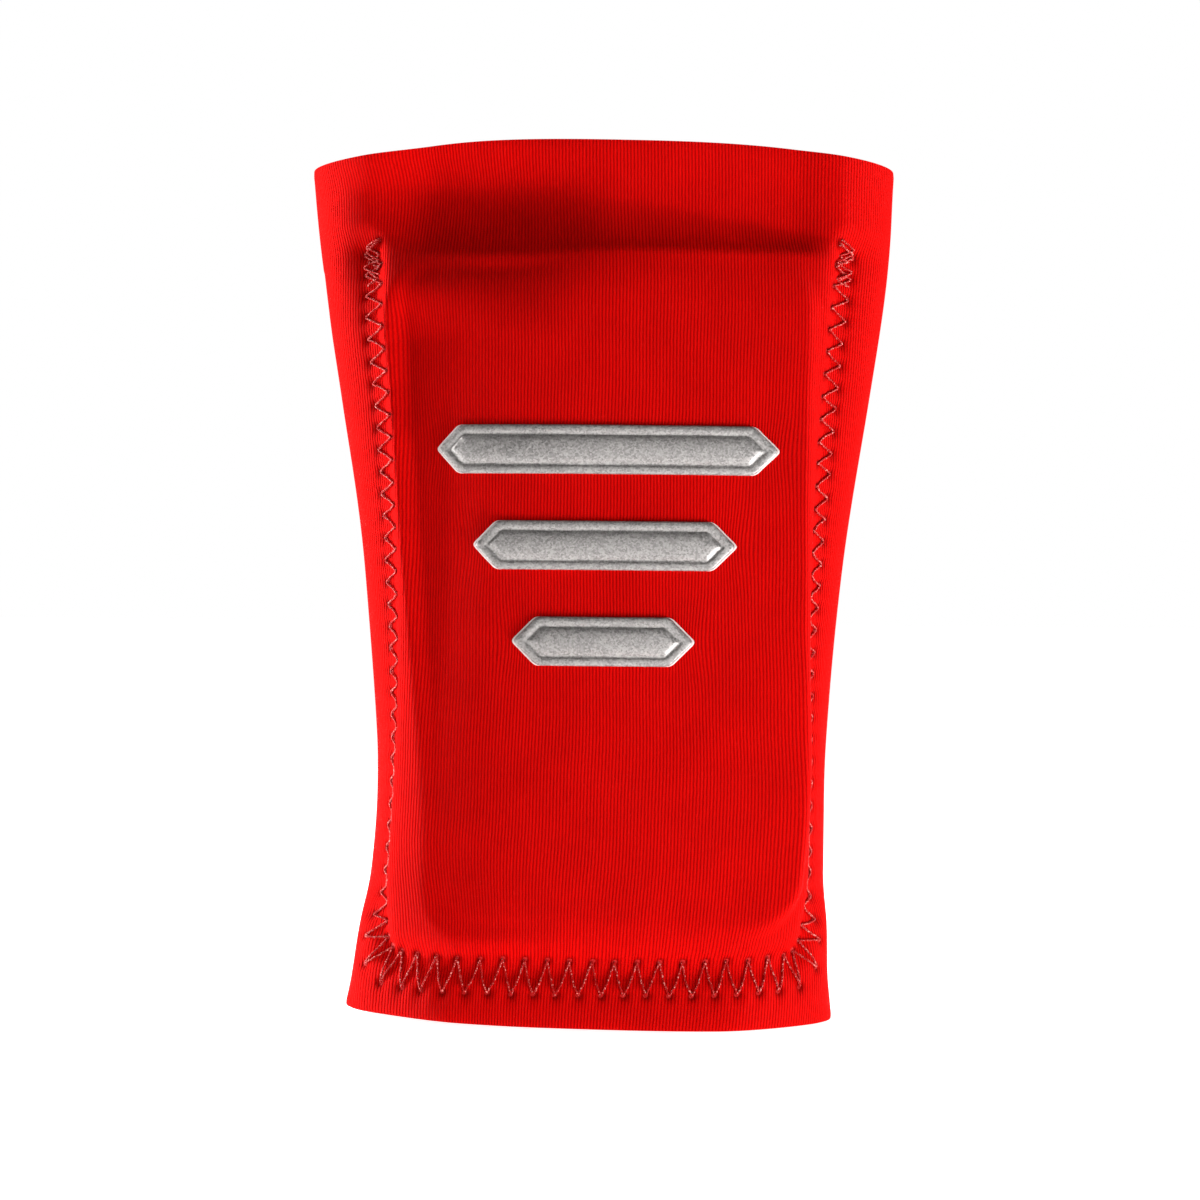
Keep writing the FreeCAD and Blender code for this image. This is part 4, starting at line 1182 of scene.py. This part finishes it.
def build_shield():
    weld, face_insets = 3.2, (5.0, 8.0, 11.0)
    front_profile = [(0.0, weld)] + round_edge(2.4, 2.4, -1) + [(inset, 0.0) for inset in face_insets]
    front_inner = [(0.6, weld), (0.6, 2.4), (3.0, 0.5), (12.0, 0.5)]
    back_profile = [(0.0, weld + 0.04)] + round_edge(3.0, SHIELD_THICKNESS - 3.0, 1)
    back_profile += [(6.0, SHIELD_THICKNESS), (11.0, SHIELD_THICKNESS)]
    inside = SHIELD_THICKNESS - 0.4
    back_inner = [(0.6, weld + 0.04), (0.6, 3.8), (3.4, inside), (12.0, inside)]
    front = shield_cover("shield_front_skin", front_profile, front_inner, channels)
    back = shield_cover("shield_back_skin", back_profile, back_inner, pressed_line)
    place_piece(front, "shield", cover_front, "shield_front_cover")
    place_piece(back, "shield", cover_back, "shield_back_cover")
    foam_profile = [(0.75, 3.3), (0.75, 3.8), (1.6, 4.9), (3.6, 5.94), (6.0, 5.94), (11.0, 5.94)]
    foam_inner = [(0.8, 3.26), (1.0, 3.2), (6.0, 3.2), (12.0, 3.2)]
    foam = shield_cover("shield_foam_pad", foam_profile, foam_inner, pressed_line)
    place_piece(foam, "shield", shield_foam, "shield_foam")
    coat(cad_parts["shield_shell"], shell_plastic)


def build_stage():
    """A white floor that casts no shadow, and a white world that lights the piece only a little."""
    reach = 8.0
    mesh = bpy.data.meshes.new("floor")
    corners = [(x * reach, y * reach, 0) for x, y in ((-1, -1), (1, -1), (1, 1), (-1, 1))]
    mesh.from_pydata(corners, [], [[0, 1, 2, 3]])
    floor = new_object("floor", mesh)
    material, _, shader = start_material("floor_white")
    set_inputs(shader, {
        "Base Color": (0.9, 0.9, 0.9, 1), "Roughness": 0.9, "Specular IOR Level": 0.0,
        "Emission Color": (1, 1, 1, 1), "Emission Strength": 0.965,
    })
    coat(floor, material)
    floor.visible_shadow = False
    world = bpy.data.worlds.new("studio")
    world.use_nodes = True
    tree = world.node_tree
    background = tree.nodes["Background"]
    seen = add(tree, "ShaderNodeLightPath").outputs["Is Camera Ray"]
    tree.links.new(calc(tree, "MULTIPLY_ADD", seen, 0.94, 0.06), background.inputs["Strength"])
    background.inputs["Color"].default_value = (1, 1, 1, 1)
    bpy.context.scene.world = world


def area_light(name, place, size, size_y, power):
    """A rectangular lamp that points at the middle of the guard; lengths in metres, power in watts."""
    data = bpy.data.lights.new(name, "AREA")
    data.shape = "RECTANGLE"
    data.size, data.size_y = size, size_y
    data.energy = power
    lamp = new_object(name, data)
    lamp.location = place
    lamp.rotation_euler = (Vector((0.0, 0.0, 0.080)) - Vector(place)).to_track_quat("-Z", "Y").to_euler()


def build_lights():
    """A grazing key from the lower right, two strips that rake the sides, and a weak fill."""
    area_light("key_low_right", (1.15, -0.66, -0.66), 0.45, 0.45, 22.8)
    area_light("strip_left", (-0.64, 0.20, 0.08), 0.14, 0.9, 16.5)
    area_light("strip_right", (0.64, 0.20, 0.06), 0.20, 0.9, 6.0)
    area_light("fill_front", (0.10, -1.3, 0.05), 0.6, 0.6, 1.7)


def build_camera():
    data = bpy.data.cameras.new("camera")
    data.sensor_width, data.lens = 36.0, 80.0
    data.clip_start, data.clip_end = 0.01, 50.0
    camera = new_object("camera", data)
    distance, eye, roll = 0.4778, 0.0742, math.radians(0.56)
    camera.location = (-0.00015, -distance, eye)
    camera.rotation_euler = (math.pi / 2, 0.0, 0.0)
    camera.rotation_euler.rotate_axis("Z", roll)
    bpy.context.scene.camera = camera


bpy.context.scene.view_settings.view_transform = "Standard"
build_camera()
build_sleeve()
build_threads()
build_badge()
build_pocket()
build_shield()
build_stage()
build_lights()
